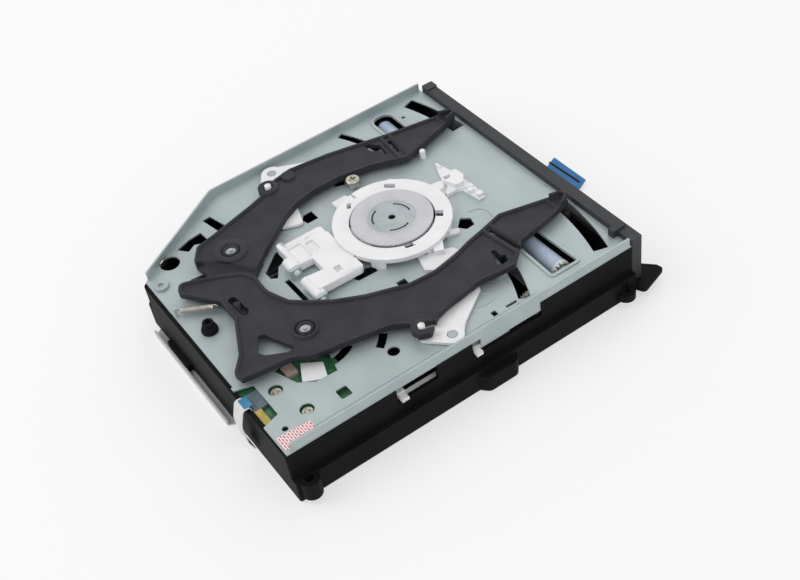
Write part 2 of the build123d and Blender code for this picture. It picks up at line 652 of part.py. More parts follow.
def feeler(centre, low):
    """Pin below a lever, thicker where the disc's edge pushes it."""
    pin = rod(centre, FEELER_PIN_R, PLATE_TOP - FEELER_DEPTH - 0.6, low + 1)
    return pin + rod(centre, FEELER_R, PLATE_TOP - FEELER_DEPTH, PLATE_UNDER - 0.4)


def make_elbow(pivot, pin, short_end, long_end):
    """White elbow: a round pad on its rivet, two flat legs and an upright pin."""
    low = PLATE_TOP + ELBOW_LIFT
    high = low + ELBOW_T
    elbow = rod(pivot, ELBOW_PAD_R, low, high)
    for end, width in ((short_end, 2.6), (long_end, 3.2)):
        run = math.dist(pivot, end)
        heading = math.degrees(math.atan2(end[1] - pivot[1], end[0] - pivot[0]))
        leg = Pos(run / 2, 0, 0) * Box(run, 2 * width, ELBOW_T)
        leg += Pos(run, 0, 0) * Cylinder(width, ELBOW_T)
        x, y = at(*pivot)
        elbow += Pos(x, y, (low + high) / 2) * Rot(0, 0, heading) * leg
    elbow += rod(pin, ELBOW_PIN_R + 1.4, low, high)
    elbow += rod(pin, ELBOW_PIN_R, low, PLATE_TOP + LEVER_LEFT_LIFT + LEVER_T + 0.2)
    elbow -= rod(pivot, ELBOW_RIVET_R + RUN, low - 1, high + 1)
    return elbow


def elbow_rivet(pivot):
    """Flush rivet that an elbow turns on."""
    low = PLATE_UNDER - 0.4
    head = rod(pivot, ELBOW_RIVET_R, PLATE_TOP, PLATE_TOP + ELBOW_LIFT + ELBOW_T)
    return head + rod(pivot, STEM_R, low, PLATE_TOP)


def pivot_post(centre, top):
    """Shouldered post riveted in the plate, with a bright domed pin end."""
    post = rod(centre, PIVOT_R, PLATE_UNDER - 0.6, top - 0.5)
    return post + rod(centre, 0.9, top - 0.5, top + 0.3)


def make_levers():
    add("lever_right", make_right_lever())
    add("lever_left", make_left_lever())
    add("elbow_right", make_elbow(ELBOW_RIGHT_PIVOT, ELBOW_RIGHT_PIN, (126.0, 62.0), (109.0, 90.0)))
    add("elbow_left", make_elbow(ELBOW_LEFT_PIVOT, ELBOW_LEFT_PIN, (20.0, 61.0), (33.0, 90.0)))
    right_top = PLATE_TOP + LEVER_LIFT + LEVER_T
    left_top = PLATE_TOP + LEVER_LEFT_LIFT + LEVER_T - 0.4
    posts = pivot_post(LEVER_RIGHT_PIVOT, right_top) + pivot_post(LEVER_LEFT_PIVOT, left_top)
    add("lever_pivots", posts)
    rivets = elbow_rivet(ELBOW_RIGHT_PIVOT) + elbow_rivet(ELBOW_LEFT_PIVOT)
    rivets += rod(RIVET_PLACE, 3.0, PLATE_TOP, PLATE_TOP + 1.2) + rod(
        RIVET_PLACE, STEM_R, PLATE_UNDER - 0.4, PLATE_TOP)
    rivets -= rod(RIVET_PLACE, 1.3, PLATE_TOP + 0.4, PLATE_TOP + 2)
    add("plate_rivets", rivets)


# Clamp over the turntable
def make_clamp():
    centre = (AXIS_ACROSS, AXIS_BACK)
    disc = rod(centre, CLAMP_R, CLAMP_TOP - CLAMP_FLANGE_T, CLAMP_TOP)
    disc += rod(centre, CLAMP_FOOT_R, CLAMP_FOOT, CLAMP_TOP)
    disc -= rod(centre, CLAMP_CONE_R, CLAMP_FOOT - 1, CLAMP_FOOT + 2.4)
    disc -= rod(centre, CLAMP_HUB_R, CLAMP_TOP - 3.6, CLAMP_TOP + 1)
    add("clamp_disc", disc)
    hub = rod(centre, CLAMP_HUB_R - SEAT, CLAMP_TOP - 0.9, CLAMP_TOP - 0.1)
    hub -= rod(centre, 1.5, CLAMP_TOP - 2, CLAMP_TOP + 1)
    for turn in (20, 140, 260):
        hub -= slab(sector(centre, 7.6, 8.4, turn, turn + 62), CLAMP_TOP - 2, CLAMP_TOP + 1)
    add("clamp_yoke", hub)
    magnet = rod(centre, CLAMP_HUB_R - 1.2, CLAMP_TOP - 3.5, CLAMP_TOP - 0.95)
    add("clamp_magnet", magnet - rod(centre, 2.2, 20, 40))

    ring = rod(centre, RING_R, PLATE_TOP, RING_TOP) - rod(centre, RING_IN_R, PLATE_TOP - 1, RING_TOP + 1)
    ring -= rod(centre, RING_R - 2.0, PLATE_TOP + 1.4, RING_TOP - RING_ROOF)
    for wing in RING_WINGS:
        ring += slab(face_of(wing) - Pos(*at(*centre), 0) * Circle(RING_IN_R), PLATE_TOP, PLATE_TOP + 1.2)
    carrier_top = CLAMP_TOP - CLAMP_FLANGE_T - GAP
    carrier_low = carrier_top - CARRIER_T
    notch = (FINGER[0] - 2 * GAP, FINGER[1] + 2 * GAP)
    ring -= block(notch, (AXIS_BACK, 95), (carrier_low - 0.9, RING_TOP - RING_ROOF))
    add("clamp_ring", ring)

    arm_heights = (PLATE_TOP + 1.2, carrier_top)
    arm = block((57.0, 90.5), (86.0, 107.0), arm_heights, 1.5)
    arm -= rod(centre, RING_R + 1.0, PLATE_TOP, CLAMP_TOP)
    arm += rod(centre, CARRIER_OUT_R, carrier_low, carrier_top) - rod(centre, CARRIER_IN_R, 20, 40)
    arm += block(FINGER, (AXIS_BACK + CARRIER_IN_R + 1.5, 92), (carrier_low, carrier_top))
    arm -= block((66.4, 74.5), (99.0, 108.0), (PLATE_TOP, CLAMP_TOP))
    arm -= block((61.0, 64.6), (93.0, 96.0), (PLATE_TOP + 3, CLAMP_TOP))
    arm -= block((76.0, 86.0), (98.0, 104.4), (carrier_top - 1.0, CLAMP_TOP), 1.0)
    arm += block((83.6, 90.5), (90.5, 98.0), (PLATE_TOP + 1.2, carrier_top - 1.4), 1.0)
    for across in ((54.7, 66.4), (74.5, 80.5)):
        arm += bar(across, ARM_HINGE_BACK, ARM_HINGE_HEIGHT, ARM_PIN_R + 0.9)
        arm += block(across, (105, ARM_HINGE_BACK), (ARM_HINGE_HEIGHT - 1.6, ARM_HINGE_HEIGHT + 1.6))
    for lug in ARM_LUGS:
        arm += bar((lug[0] - 0.6, lug[1] + 1.0), ARM_HINGE_BACK, ARM_HINGE_HEIGHT, ARM_PIN_R)
    add("clamp_arm", arm)


# Chassis, cover and bezel
def wall_points(side, rear, cut):
    """Plate outline moved out by one distance at the sides, one behind and one at the cut corner."""
    run = CUT_REAR_ACROSS - PLATE_WIDTH
    rise = PLATE_DEPTH - CUT_SIDE_BACK
    length = math.hypot(run, rise)
    start = (PLATE_WIDTH + cut * rise / length, CUT_SIDE_BACK - cut * run / length)
    side_back = start[1] + (PLATE_WIDTH + side - start[0]) * rise / run
    rear_across = start[0] + (PLATE_DEPTH + rear - start[1]) * run / rise
    return [
        (-side, 0),
        (PLATE_WIDTH + side, 0),
        (PLATE_WIDTH + side, side_back, 3),
        (rear_across, PLATE_DEPTH + rear, 3),
        (-side, PLATE_DEPTH + rear, 0.8),
    ]


def mount_ear(centre, height):
    """Round ear joined to the wall beside it, without its hole."""
    inward = 1 if centre[0] < AXIS_ACROSS else -1
    ear = rod(centre, EAR_R, EAR_SEAT, EAR_SEAT + height)
    reach = sorted((centre[0], centre[0] + inward * (EAR_OUT + 1.4)))
    return ear + block(reach, (centre[1] - EAR_R, centre[1] + EAR_R), (EAR_SEAT, EAR_SEAT + height))


def make_chassis():
    upper = face_of(wall_points(WALL_OUT, REAR_OUT, WALL_OUT))
    upper_in = face_of([(p[0], p[1] if p[1] else WALL, *p[2:])
                        for p in wall_points(WALL_OUT - WALL, REAR_OUT - WALL, WALL_OUT - WALL)])
    lower = face_of(wall_points(FOOT_OUT, REAR_OUT, FOOT_OUT))
    lower_in = face_of([(p[0], p[1] if p[1] else WALL, *p[2:])
                        for p in wall_points(FOOT_OUT - WALL, REAR_OUT - WALL, FOOT_OUT - WALL)])
    ledge_low = LEDGE_TOP - WALL
    body = slab(lower, COVER_SHEET, LEDGE_TOP) - slab(lower_in, COVER_SHEET, ledge_low)
    body -= slab(upper_in, ledge_low, LEDGE_TOP)
    body += slab(upper - upper_in, LEDGE_TOP, PLATE_UNDER)
    well = face_of([(WELL_LEFT, WELL_FRONT, 3), (WELL_RIGHT, WELL_FRONT, 3),
                    (WELL_RIGHT, WELL_BACK, 3), (WELL_LEFT, WELL_BACK, 3)])
    body += slab(lower_in - well, FLOOR_LOW, FLOOR_TOP)
    # Slot for the disc, way out for the front cable, and windows in the left wall
    slot_across = (AXIS_ACROSS - SLOT_WIDTH / 2, AXIS_ACROSS + SLOT_WIDTH / 2)
    body -= block(slot_across, (-1, WALL + 0.1), (SLOT_LOW, PLATE_UNDER))
    body -= block(CABLE_EXIT, (-1, WALL + 0.1), (COVER_SHEET, FLOOR_LOW))
    for window in SLIDER_WINDOWS:
        body -= block((-1, WALL + 0.4), window, (PLATE_UNDER - WINDOW_DROP, PLATE_UNDER))
    # Ears, front lip and the bulge beside the traverse
    ears = [(EAR_LEFT_FRONT, EAR_FRONT_H), (EAR_LEFT_REAR, EAR_REAR_H),
            (EAR_RIGHT_FRONT, EAR_FRONT_H), (EAR_RIGHT_REAR, EAR_FRONT_H)]
    for centre, height in ears:
        body += mount_ear(centre, height)
    for centre, height in ears:
        body -= rod(centre, EAR_HOLE_R, 0, EAR_SEAT + height + 4)
    lip = [(-2.6, 1), (-7.2, -1.0, 2), (-2.8, -14.6, 1.4), (0.4, -14.0, 1.0), (9.0, -6.4), (9.0, 1)]
    body += slab(face_of(lip), EAR_SEAT, BEZEL_LOW - GAP)
    bulge = [(-2.0, 58.4), (-6.2, 62.0, 3), (-6.2, 75.0, 3), (-2.0, 78.6)]
    body += slab(face_of(bulge), COVER_SHEET, 8.4)
    # Bosses for the cover, the boards, the gear axles, the motor, the traverse hinge and the slider
    for centre in COVER_SCREWS:
        body += rod(centre, 3.0, COVER_SHEET, FLOOR_TOP)
        body -= rod(centre, SCREW_R, 0, FLOOR_TOP - 0.6)
    for centre in BOARD_SCREWS:
        body += rod(centre, 2.6, FLOOR_LOW, BOARD_LOW)
        body -= rod(centre, SCREW_R, BOARD_LOW - 6, BOARD_LOW + 1)
    for centre in MAIN_BOARD_PADS:
        body += rod(centre, 2.5, MAIN_BOARD_TOP, FLOOR_TOP)
    for back, height in (IDLER_AXIS, MIDDLE_AXIS):
        body += bar((WALL - WALL_OUT - 0.1, GEAR_LEFT - GAP), back, height, 1.7)
        body -= bar((WALL - WALL_OUT + 1.5, GEAR_LEFT), back, height, AXLE_R + SEAT)
    body -= bar((WALL - WALL_OUT - 0.8, WALL), *TRANSFER_AXIS, AXLE_R + SEAT)
    body += motor_cradle()
    for back in HINGE_LUGS:
        body += block((HINGE_ACROSS - 3, HINGE_ACROSS + 3), back, (FLOOR_LOW, HINGE_HEIGHT + 3.2))
    hinge_run = (HINGE_LUGS[0][0] + 1, HINGE_LUGS[-1][1] - 1)
    body -= bar_back(HINGE_ACROSS, hinge_run, HINGE_HEIGHT, HINGE_PIN_R + SEAT)
    for back in SLIDER_GUIDES:
        guide = SLIDER_LEFT + SLIDER_T + GAP
        body += block((guide, guide + 1.4), back, (FLOOR_LOW, 14))
    for across in BRACKET_LUGS:
        body += block(across, (BRACKET_BACK - 2.6, BRACKET_BACK + 2.6), (FLOOR_LOW, BRACKET_HEIGHT + 2.4))
        reach = (across[0] - 6, across[1] + 6)
        body -= bar(reach, BRACKET_BACK, BRACKET_HEIGHT, BRACKET_PIN_R + RUN)
    body += block((80, 98), (PLATE_DEPTH + REAR_OUT - 0.4, PLATE_DEPTH + 2.8),
                  (COVER_SHEET, COVER_SHEET + 3.4), 0.6)
    add("chassis", body)


def motor_cradle():
    """Saddle under the loading motor."""
    seat = block((MOTOR_LEFT + 2, MOTOR_LEFT + MOTOR_LENGTH - 2), (MOTOR_AXIS[0] - 4.5, MOTOR_AXIS[0] + 4.5),
                 (FLOOR_LOW, MOTOR_AXIS[1] - 1))
    return seat - bar((MOTOR_LEFT - 1, MOTOR_LEFT + MOTOR_LENGTH + 1), *MOTOR_AXIS, MOTOR_R + SEAT)


def make_cover():
    cover = slab(face_of(wall_points(FOOT_OUT - 0.4, REAR_OUT - 0.4, FOOT_OUT - 0.4)), 0, COVER_SHEET)
    lip = [(44, PLATE_DEPTH), (110, PLATE_DEPTH), (108, PLATE_DEPTH + 4.0, 1), (46, PLATE_DEPTH + 4.0, 1)]
    cover += slab(face_of(lip), 0, COVER_SHEET)
    edge = [(46, PLATE_DEPTH + 3.2), (108, PLATE_DEPTH + 3.2),
            (108, PLATE_DEPTH + 4.0), (46, PLATE_DEPTH + 4.0)]
    cover += slab(face_of(edge), COVER_SHEET, COVER_SHEET + 2.2)
    screws = None
    for centre in COVER_SCREWS:
        cover -= rod(centre, 2.4, -1, COVER_SHEET)
        screw = rod(centre, 2.3, 0.1, COVER_SHEET) + rod(centre, SCREW_R - SEAT, COVER_SHEET, FLOOR_LOW)
        screws = screw if screws is None else screws + screw
    add("bottom_cover", cover)
    add("cover_screws", screws)


def make_bezel():
    bezel = block((BEZEL_LEFT, BEZEL_RIGHT), (-BEZEL_T, 0), (BEZEL_LOW, BEZEL_HIGH), 0.6)
    bezel += block((BEZEL_RIGHT - 4, BEZEL_RIGHT + 0.6), (-BEZEL_T - 0.4, 0),
                   (BEZEL_LOW + 2, BEZEL_HIGH + 0.6), 0.6)
    slot_across = (AXIS_ACROSS - SLOT_WIDTH / 2, AXIS_ACROSS + SLOT_WIDTH / 2)
    bezel -= block(slot_across, (-BEZEL_T - 2, 1), (SLOT_LOW, SLOT_LOW + SLOT_HEIGHT))
    lead = block((slot_across[0] - 1, slot_across[1] + 1), (-BEZEL_T - 2, -BEZEL_T + 1.0),
                 (SLOT_LOW - 0.8, SLOT_LOW + SLOT_HEIGHT + 0.8))
    bezel -= lead
    for across in ((4, 50), (53, 91), (94, 136)):
        bezel -= block(across, (-BEZEL_T + 1.6, 1), (BEZEL_LOW + 1.4, SLOT_LOW - 2.4))
    bezel += block((7.6, 10.4), (-BEZEL_T + 1.0, 2.6), (BEZEL_HIGH, BEZEL_HIGH + 1.0), 0.5)
    bezel += block((7.6, 10.4), (0, 2.6), (PLATE_TOP, BEZEL_HIGH + 1.0))
    add("front_bezel", bezel)


def step_from(axis, teeth_a, teeth_b, angle):
    """Axis of the next gear in the train, at an angle from the one before."""
    reach = (teeth_a + teeth_b) * GEAR_MODULE / 2
    turn = math.radians(angle)
    return (axis[0] + reach * math.cos(turn), axis[1] + reach * math.sin(turn))


IDLER_AXIS = step_from(ROLLER_AXIS, ROLLER_TEETH, IDLER_TEETH, IDLER_ANGLE)
MIDDLE_AXIS = step_from(IDLER_AXIS, IDLER_TEETH, MIDDLE_TEETH, MIDDLE_ANGLE)
TRANSFER_AXIS = step_from(MIDDLE_AXIS, MIDDLE_TEETH, TRANSFER_SMALL, TRANSFER_ANGLE)
MOTOR_AXIS = step_from(TRANSFER_AXIS, TRANSFER_LARGE, MOTOR_TEETH, MOTOR_ANGLE)
IDLER_PHASE = mesh_phase(0, ROLLER_TEETH, IDLER_TEETH, IDLER_ANGLE)
MIDDLE_PHASE = mesh_phase(IDLER_PHASE, IDLER_TEETH, MIDDLE_TEETH, MIDDLE_ANGLE)
TRANSFER_PHASE = mesh_phase(MIDDLE_PHASE, MIDDLE_TEETH, TRANSFER_SMALL, TRANSFER_ANGLE)
MOTOR_PHASE = mesh_phase(0, TRANSFER_LARGE, MOTOR_TEETH, MOTOR_ANGLE)


def placed(wheel, across, axis):
    """A gear set on its axis, which is a (back, height) pair."""
    x, y = at(across, axis[0])
    return Pos(x, y, axis[1]) * wheel


def link_plate(across, first, second, first_r, second_r):
    """Flat ear in the YZ plane with round ends about two axes."""
    run = math.dist(first, second)
    angle = math.degrees(math.atan2(second[1] - first[1], second[0] - first[0]))
    x, y = at((across[0] + across[1]) / 2, (first[0] + second[0]) / 2)
    web = Rot(angle, 0, 0) * Box(across[1] - across[0], run, 2 * min(first_r, second_r))
    plate = Pos(x, y, (first[1] + second[1]) / 2) * web
    return plate + bar(across, *first, first_r) + bar(across, *second, second_r)


def make_train():
    wheel = gear(ROLLER_TEETH, GEAR_MODULE, GEAR_T, ROLLER_SHAFT_R + SEAT)
    add("roller_gear", placed(wheel, GEAR_LEFT, ROLLER_AXIS))
    idler = gear(IDLER_TEETH, GEAR_MODULE, GEAR_T, AXLE_R + RUN, IDLER_PHASE)
    add("idler_gear", placed(idler, GEAR_LEFT, IDLER_AXIS))
    add("middle_gear", placed(gear(MIDDLE_TEETH, GEAR_MODULE, GEAR_T, AXLE_R + RUN, MIDDLE_PHASE),
                              GEAR_LEFT, MIDDLE_AXIS))
    transfer = placed(gear(TRANSFER_SMALL, GEAR_MODULE, GEAR_T, 0, TRANSFER_PHASE), GEAR_LEFT, TRANSFER_AXIS)
    transfer += placed(gear(TRANSFER_LARGE, GEAR_MODULE, GEAR_T, 0), LARGE_LEFT, TRANSFER_AXIS)
    transfer += bar((GEAR_LEFT + GEAR_T, LARGE_LEFT), *TRANSFER_AXIS, 3.0)
    transfer -= bar((0, 20), *TRANSFER_AXIS, AXLE_R + RUN)
    add("transfer_gear", transfer)
    pinion = placed(gear(MOTOR_TEETH, GEAR_MODULE, GEAR_T, 0, MOTOR_PHASE), LARGE_LEFT, MOTOR_AXIS)
    pinion += bar((LARGE_LEFT, MOTOR_LEFT + 6), *MOTOR_AXIS, 0.7)
    add("motor_pinion", pinion)
    motor = bar((MOTOR_LEFT, MOTOR_LEFT + MOTOR_LENGTH), *MOTOR_AXIS, MOTOR_R)
    motor += bar((LARGE_LEFT + GEAR_T + GAP, MOTOR_LEFT), *MOTOR_AXIS, 2.2)
    motor -= bar((0, MOTOR_LEFT + 6.4), *MOTOR_AXIS, 0.7 + RUN)
    add("loading_motor", motor)
    wall_in = WALL - WALL_OUT
    axles = bar((wall_in + 1.6, GEAR_LEFT + GEAR_T + 0.3), *IDLER_AXIS, AXLE_R)
    axles += bar((wall_in + 1.6, GEAR_LEFT + GEAR_T + 0.3), *MIDDLE_AXIS, AXLE_R)
    axles += bar((wall_in - 0.8, LARGE_LEFT + GEAR_T + 0.3), *TRANSFER_AXIS, AXLE_R)
    add("gear_axles", axles)
    pinion = placed(gear(PINION_TEETH, RACK_MODULE, 1.8, AXLE_R + RUN, -90), SLIDER_LEFT + 0.2, TRANSFER_AXIS)
    add("slider_pinion", pinion)


def make_roller():
    add("roller_shaft", bar((GEAR_LEFT - 0.6, SLEEVE_RIGHT[1] + 3.0), *ROLLER_AXIS, ROLLER_SHAFT_R))
    sleeves = None
    taper = (ROLLER_END_R, ROLLER_MID_R)
    for ends, radii in ((SLEEVE_LEFT, taper), (SLEEVE_RIGHT, taper[::-1])):
        x, y = at(ends[0], ROLLER_BACK)
        cone = Cone(radii[0], radii[1], ends[1] - ends[0], align=(Align.CENTER, Align.CENTER, Align.MIN))
        sleeve = Pos(x, y, ROLLER_HEIGHT) * Rot(0, 90, 0) * cone
        sleeve -= bar((0, PLATE_WIDTH), *ROLLER_AXIS, ROLLER_SHAFT_R + SEAT)
        sleeves = sleeve if sleeves is None else sleeves + sleeve
    add("roller_sleeves", sleeves)
    pivot = (BRACKET_BACK, BRACKET_HEIGHT)
    bracket = block((EAR_SHEETS[0][0], EAR_SHEETS[1][1]), (BRACKET_BACK - 4, BRACKET_BACK + 3),
                    (BRACKET_HEIGHT - 0.4, BRACKET_HEIGHT + 0.4))
    for across in BRACKET_LUGS:
        bracket -= block((across[0] - GAP, across[1] + GAP), (BRACKET_BACK - 3, BRACKET_BACK + 4), (0, 20))
    bushes = None
    for across in EAR_SHEETS:
        bracket += link_plate(across, pivot, ROLLER_AXIS, 2.0, 2.9)
        bracket -= bar((across[0] - 1, across[1] + 1), *ROLLER_AXIS, BUSH_R + SEAT)
        bush = bar(across, *ROLLER_AXIS, BUSH_R) - bar((0, 140), *ROLLER_AXIS, ROLLER_SHAFT_R + RUN)
        bushes = bush if bushes is None else bushes + bush
    for across in ((EAR_SHEETS[0][0], BRACKET_LUGS[0][1] + 1), (BRACKET_LUGS[1][0] - 1, EAR_SHEETS[1][1])):
        bracket += bar(across, *pivot, BRACKET_PIN_R)
    bracket += block((40, 104), (BRACKET_BACK - 4, BRACKET_BACK - 3.2), (BRACKET_HEIGHT, BRACKET_HEIGHT + 3))
    add("roller_bracket", bracket)
    add("roller_bushes", bushes)


def make_slider():
    right = SLIDER_LEFT + SLIDER_T
    slider = block((SLIDER_LEFT, right), (SLIDER_FRONT, SLIDER_BACK), (SLIDER_LOW, SLIDER_HIGH))
    pitch_line = TRANSFER_AXIS[1] - PINION_TEETH * RACK_MODULE / 2
    root = pitch_line - 1.15 * RACK_MODULE
    slider += block((SLIDER_LEFT, right), (RACK_FRONT, SLIDER_FRONT), (SLIDER_LOW, root))
    pitch = math.pi * RACK_MODULE
    first = TRANSFER_AXIS[0] + pitch / 2 - 2 * pitch
    count = int((SLIDER_FRONT - first) / pitch)
    for index in range(count):
        middle = first + index * pitch
        _, y = at(0, middle)
        tooth = Polyline((y - 0.32 * pitch, root - 0.1), (y - 0.13 * pitch, pitch_line + 0.85 * RACK_MODULE),
                         (y + 0.13 * pitch, pitch_line + 0.85 * RACK_MODULE), (y + 0.32 * pitch, root - 0.1),
                         close=True)
        x, _ = at(SLIDER_LEFT, 0)
        slider += Pos(x, 0, 0) * (Plane.YZ.location * extrude(make_face(tooth), SLIDER_T))
    # Cam slots: the followers climb from their lowered height to the raised one
    arm = HINGE_ACROSS - SLIDER_LEFT - SLIDER_T / 2
    raised = FRAME_LOW + FRAME_T / 2
    dropped = lowered_height(arm, raised)
    for back in FOLLOWERS_BACK:
        start = (back, dropped)
        end = (back + SLIDER_TRAVEL, raised)
        slider -= link_plate((0, 12), start, end, FOLLOWER_R + GAP, FOLLOWER_R + GAP)
    for back in TAB_PLACES:
        slider += block((-1.8, SLIDER_LEFT + 0.5), back, (PLATE_UNDER - 6.2, PLATE_UNDER - 4.6))
    add("cam_slider", slider)


def lowered_height(arm, height):
    """Height of a traverse point after the drop, from its reach to the hinge."""
    turn = math.radians(TRAVERSE_DROP)
    return HINGE_HEIGHT + (height - HINGE_HEIGHT) * math.cos(turn) - arm * math.sin(turn)


# Traverse pieces, drawn raised and level
def make_traverse():
    frame_high = FRAME_LOW + FRAME_T
    outer = [(34, 41.5, 2), (126, 41.5, 2), (126, 112, 2), (110, 144, 2), (34, 144, 2),
             (34, 137), (8.6, 137, 2), (8.6, 60.6, 2), (34, 60.6, 2)]
    frame = slab(face_of(outer), FRAME_LOW, frame_high)
    for across, back in (((41, 106), (47.5, 139.5)), ((16, 36), (67, 131))):
        frame -= block(across, back, (FRAME_LOW - 1, frame_high + 1), 2)
    for across, back in DAMPER_TABS:
        frame += block(across, back, (FRAME_LOW, FRAME_LOW + 1.2))
    for centre in DAMPERS:
        frame -= rod(centre, SCREW_R, 0, 40)
    for back in FOLLOWERS_BACK:
        frame += bar((SLIDER_LEFT + 0.2, 10), back, FRAME_LOW + FRAME_T / 2, FOLLOWER_R)
    for back in HINGE_BARRELS:
        frame += block((122, HINGE_ACROSS), back, (HINGE_HEIGHT - 1.2, frame_high))
        frame += bar_back(HINGE_ACROSS, back, HINGE_HEIGHT, HINGE_PIN_R + 1.2)
        frame -= bar_back(HINGE_ACROSS, (back[0] - 1, back[1] + 1), HINGE_HEIGHT, HINGE_PIN_R + RUN)
    add("lift_frame", lowered(frame))
    hinge_run = (HINGE_LUGS[0][0] + 1, HINGE_LUGS[-1][1] - 1)
    add("traverse_hinge_pin", bar_back(HINGE_ACROSS, hinge_run, HINGE_HEIGHT, HINGE_PIN_R))

    deck_high = DECK_LOW + DECK_SHEET
    deck_edge = [(42.5, 49, 2), (104.6, 49, 2), (104.6, 138.6, 2), (42.5, 138.6, 2)]
    deck = slab(face_of(deck_edge), DECK_LOW, deck_high)
    sled_back = SLED_FRONT + SLED_DEPTH
    deck -= block((50, 94), (SLED_FRONT - 0.9, sled_back + SLED_TRAVEL + 2 * GAP), (0, 40), 2)
    deck -= block((94.5, 106), (60, 78.6), (0, 40))
    deck -= rod((AXIS_ACROSS, AXIS_BACK), 4.4, 0, 40)
    dampers = None
    screws = None
    for centre in DAMPERS:
        deck -= rod(centre, 2.2 + SEAT, 0, 40)
        damper = rod(centre, 3.4, FRAME_LOW + 1.2, DECK_LOW) + rod(centre, 2.2, DECK_LOW, deck_high)
        damper += rod(centre, 3.2, deck_high, deck_high + 0.9)
        damper -= rod(centre, SCREW_R, 0, 40)
        dampers = damper if dampers is None else dampers + damper
        screw = rod(centre, SCREW_R - SEAT, FRAME_LOW, deck_high + 0.9)
        screw += rod(centre, 2.3, deck_high + 0.9, deck_high + 1.6)
        screws = screw if screws is None else screws + screw
    add("traverse_deck", lowered(deck))
    add("deck_dampers", lowered(dampers))
    add("deck_screws", lowered(screws))

    centre = (AXIS_ACROSS, AXIS_BACK)
    stator = rod(centre, 9.5, DECK_LOW - 3.0, DECK_LOW) + rod(centre, 4.2, DECK_LOW, deck_high + 0.2)
    stator -= rod(centre, 1.0 + RUN, DECK_LOW - 2.4, 40)
    add("spindle_motor", lowered(stator))
    rotor = rod(centre, ROTOR_R, deck_high + GAP, DISC_SEAT - 2.2)
    rotor -= rod(centre, ROTOR_R - 0.8, 0, DISC_SEAT - 2.8)
    rotor += rod(centre, 1.0, DECK_LOW - 2.3, DISC_SEAT - 2.2)
    add("spindle_rotor", lowered(rotor))
    table = rod(centre, TURNTABLE_R, DISC_SEAT - 2.2, DISC_SEAT)
    x, y = at(*centre)
    cone = Cone(CONE_R, CONE_R - 1.4, 1.9, align=(Align.CENTER, Align.CENTER, Align.MIN))
    table += Pos(x, y, DISC_SEAT) * cone
    table -= rod(centre, 3.4, DISC_SEAT + 0.6, 40)
    add("turntable", lowered(table))

    rods = None
    clips = None
    for across in (ROD_LEFT, ROD_RIGHT):
        guide = bar_back(across, (77.2, 129.4), ROD_HEIGHT, ROD_R)
        rods = guide if rods is None else rods + guide
        for back in ((77.0, 79.6), (127.2, 129.6)):
            clip = block((across - 2.4, across + 2.4), back, (ROD_HEIGHT - 2.2, DECK_LOW))
            clip -= bar_back(across, (70, 140), ROD_HEIGHT, ROD_R + SEAT)
            clips = clip if clips is None else clips + clip
    holder = block((SCREW_ACROSS - 2.2, SCREW_ACROSS + 2.2), (127.2, 129.6), (SCREW_HEIGHT - 2.4, DECK_LOW))
    clips += holder - bar_back(SCREW_ACROSS, (100, 140), SCREW_HEIGHT, 0.8 + RUN)
    add("guide_rods", lowered(rods))
    add("rod_clips", lowered(clips))
    motor = bar_back(SCREW_ACROSS, (61.0, 76.4), SCREW_HEIGHT, 4.6)
    motor += block((SCREW_ACROSS - 2.6, SCREW_ACROSS + 3.8), (76.4, 77.6), (SCREW_HEIGHT - 4.6, DECK_LOW))
    motor -= bar_back(SCREW_ACROSS, (70, 90), SCREW_HEIGHT, 0.8 + RUN)
    motor += block((SCREW_ACROSS - 2.6, SCREW_ACROSS + 3.8), (76.4, 80.2), (DECK_LOW - 0.6, DECK_LOW))
    add("sled_motor", lowered(motor))
    screw = bar_back(SCREW_ACROSS, (78.2, 126.6), SCREW_HEIGHT, SCREW_OUT_R)
    screw += bar_back(SCREW_ACROSS, (72, 129.4), SCREW_HEIGHT, 0.8)
    add("lead_screw", lowered(screw))

    sled = block((51.5, 92.5), (SLED_FRONT, sled_back), (ROD_HEIGHT - 2.1, 17.2), 1.0)
    for across in (ROD_LEFT, ROD_RIGHT):
        sled += bar_back(across, (80.0, 92.4), ROD_HEIGHT, 2.1)
        inner_end = 52.0 if across < AXIS_ACROSS else 92.0
        sled += block(sorted((across, inner_end)), (80.0, 92.4), (ROD_HEIGHT - 2.1, DECK_LOW - GAP))
        sled -= bar_back(across, (70, 140), ROD_HEIGHT, ROD_R + RUN)
    sled += block((ROD_RIGHT + 1.6, SCREW_ACROSS), (84, 90),
                  (SCREW_HEIGHT - 2.4, SCREW_HEIGHT - SCREW_OUT_R - RUN))
    sled += block((ROD_RIGHT, SCREW_ACROSS - 2.4), (84, 90), (SCREW_HEIGHT - 2.4, ROD_HEIGHT - ROD_R - 0.4))
    sled -= block((66.4 - GAP, 77.6 + GAP), (82.2 - GAP, 90.8 + GAP), (13.2, 40), 0.8)
    sled -= block((54, 62), (83, 92), (15.8, 40), 0.8)
    sled -= block((82, 90), (83, 92), (15.8, 40), 0.8)
    add("pickup_sled", lowered(sled))
    holder = block((66.4, 77.6), (82.2, 90.8), (14.0, 18.2), 1.0)
    holder -= rod((AXIS_ACROSS, LENS_BACK), LENS_R, 16.8, 40)
    add("lens_holder", lowered(holder))
    lens = rod((AXIS_ACROSS, LENS_BACK), LENS_R - SEAT, 16.8, 18.3)
    add("objective_lens", lowered(lens))


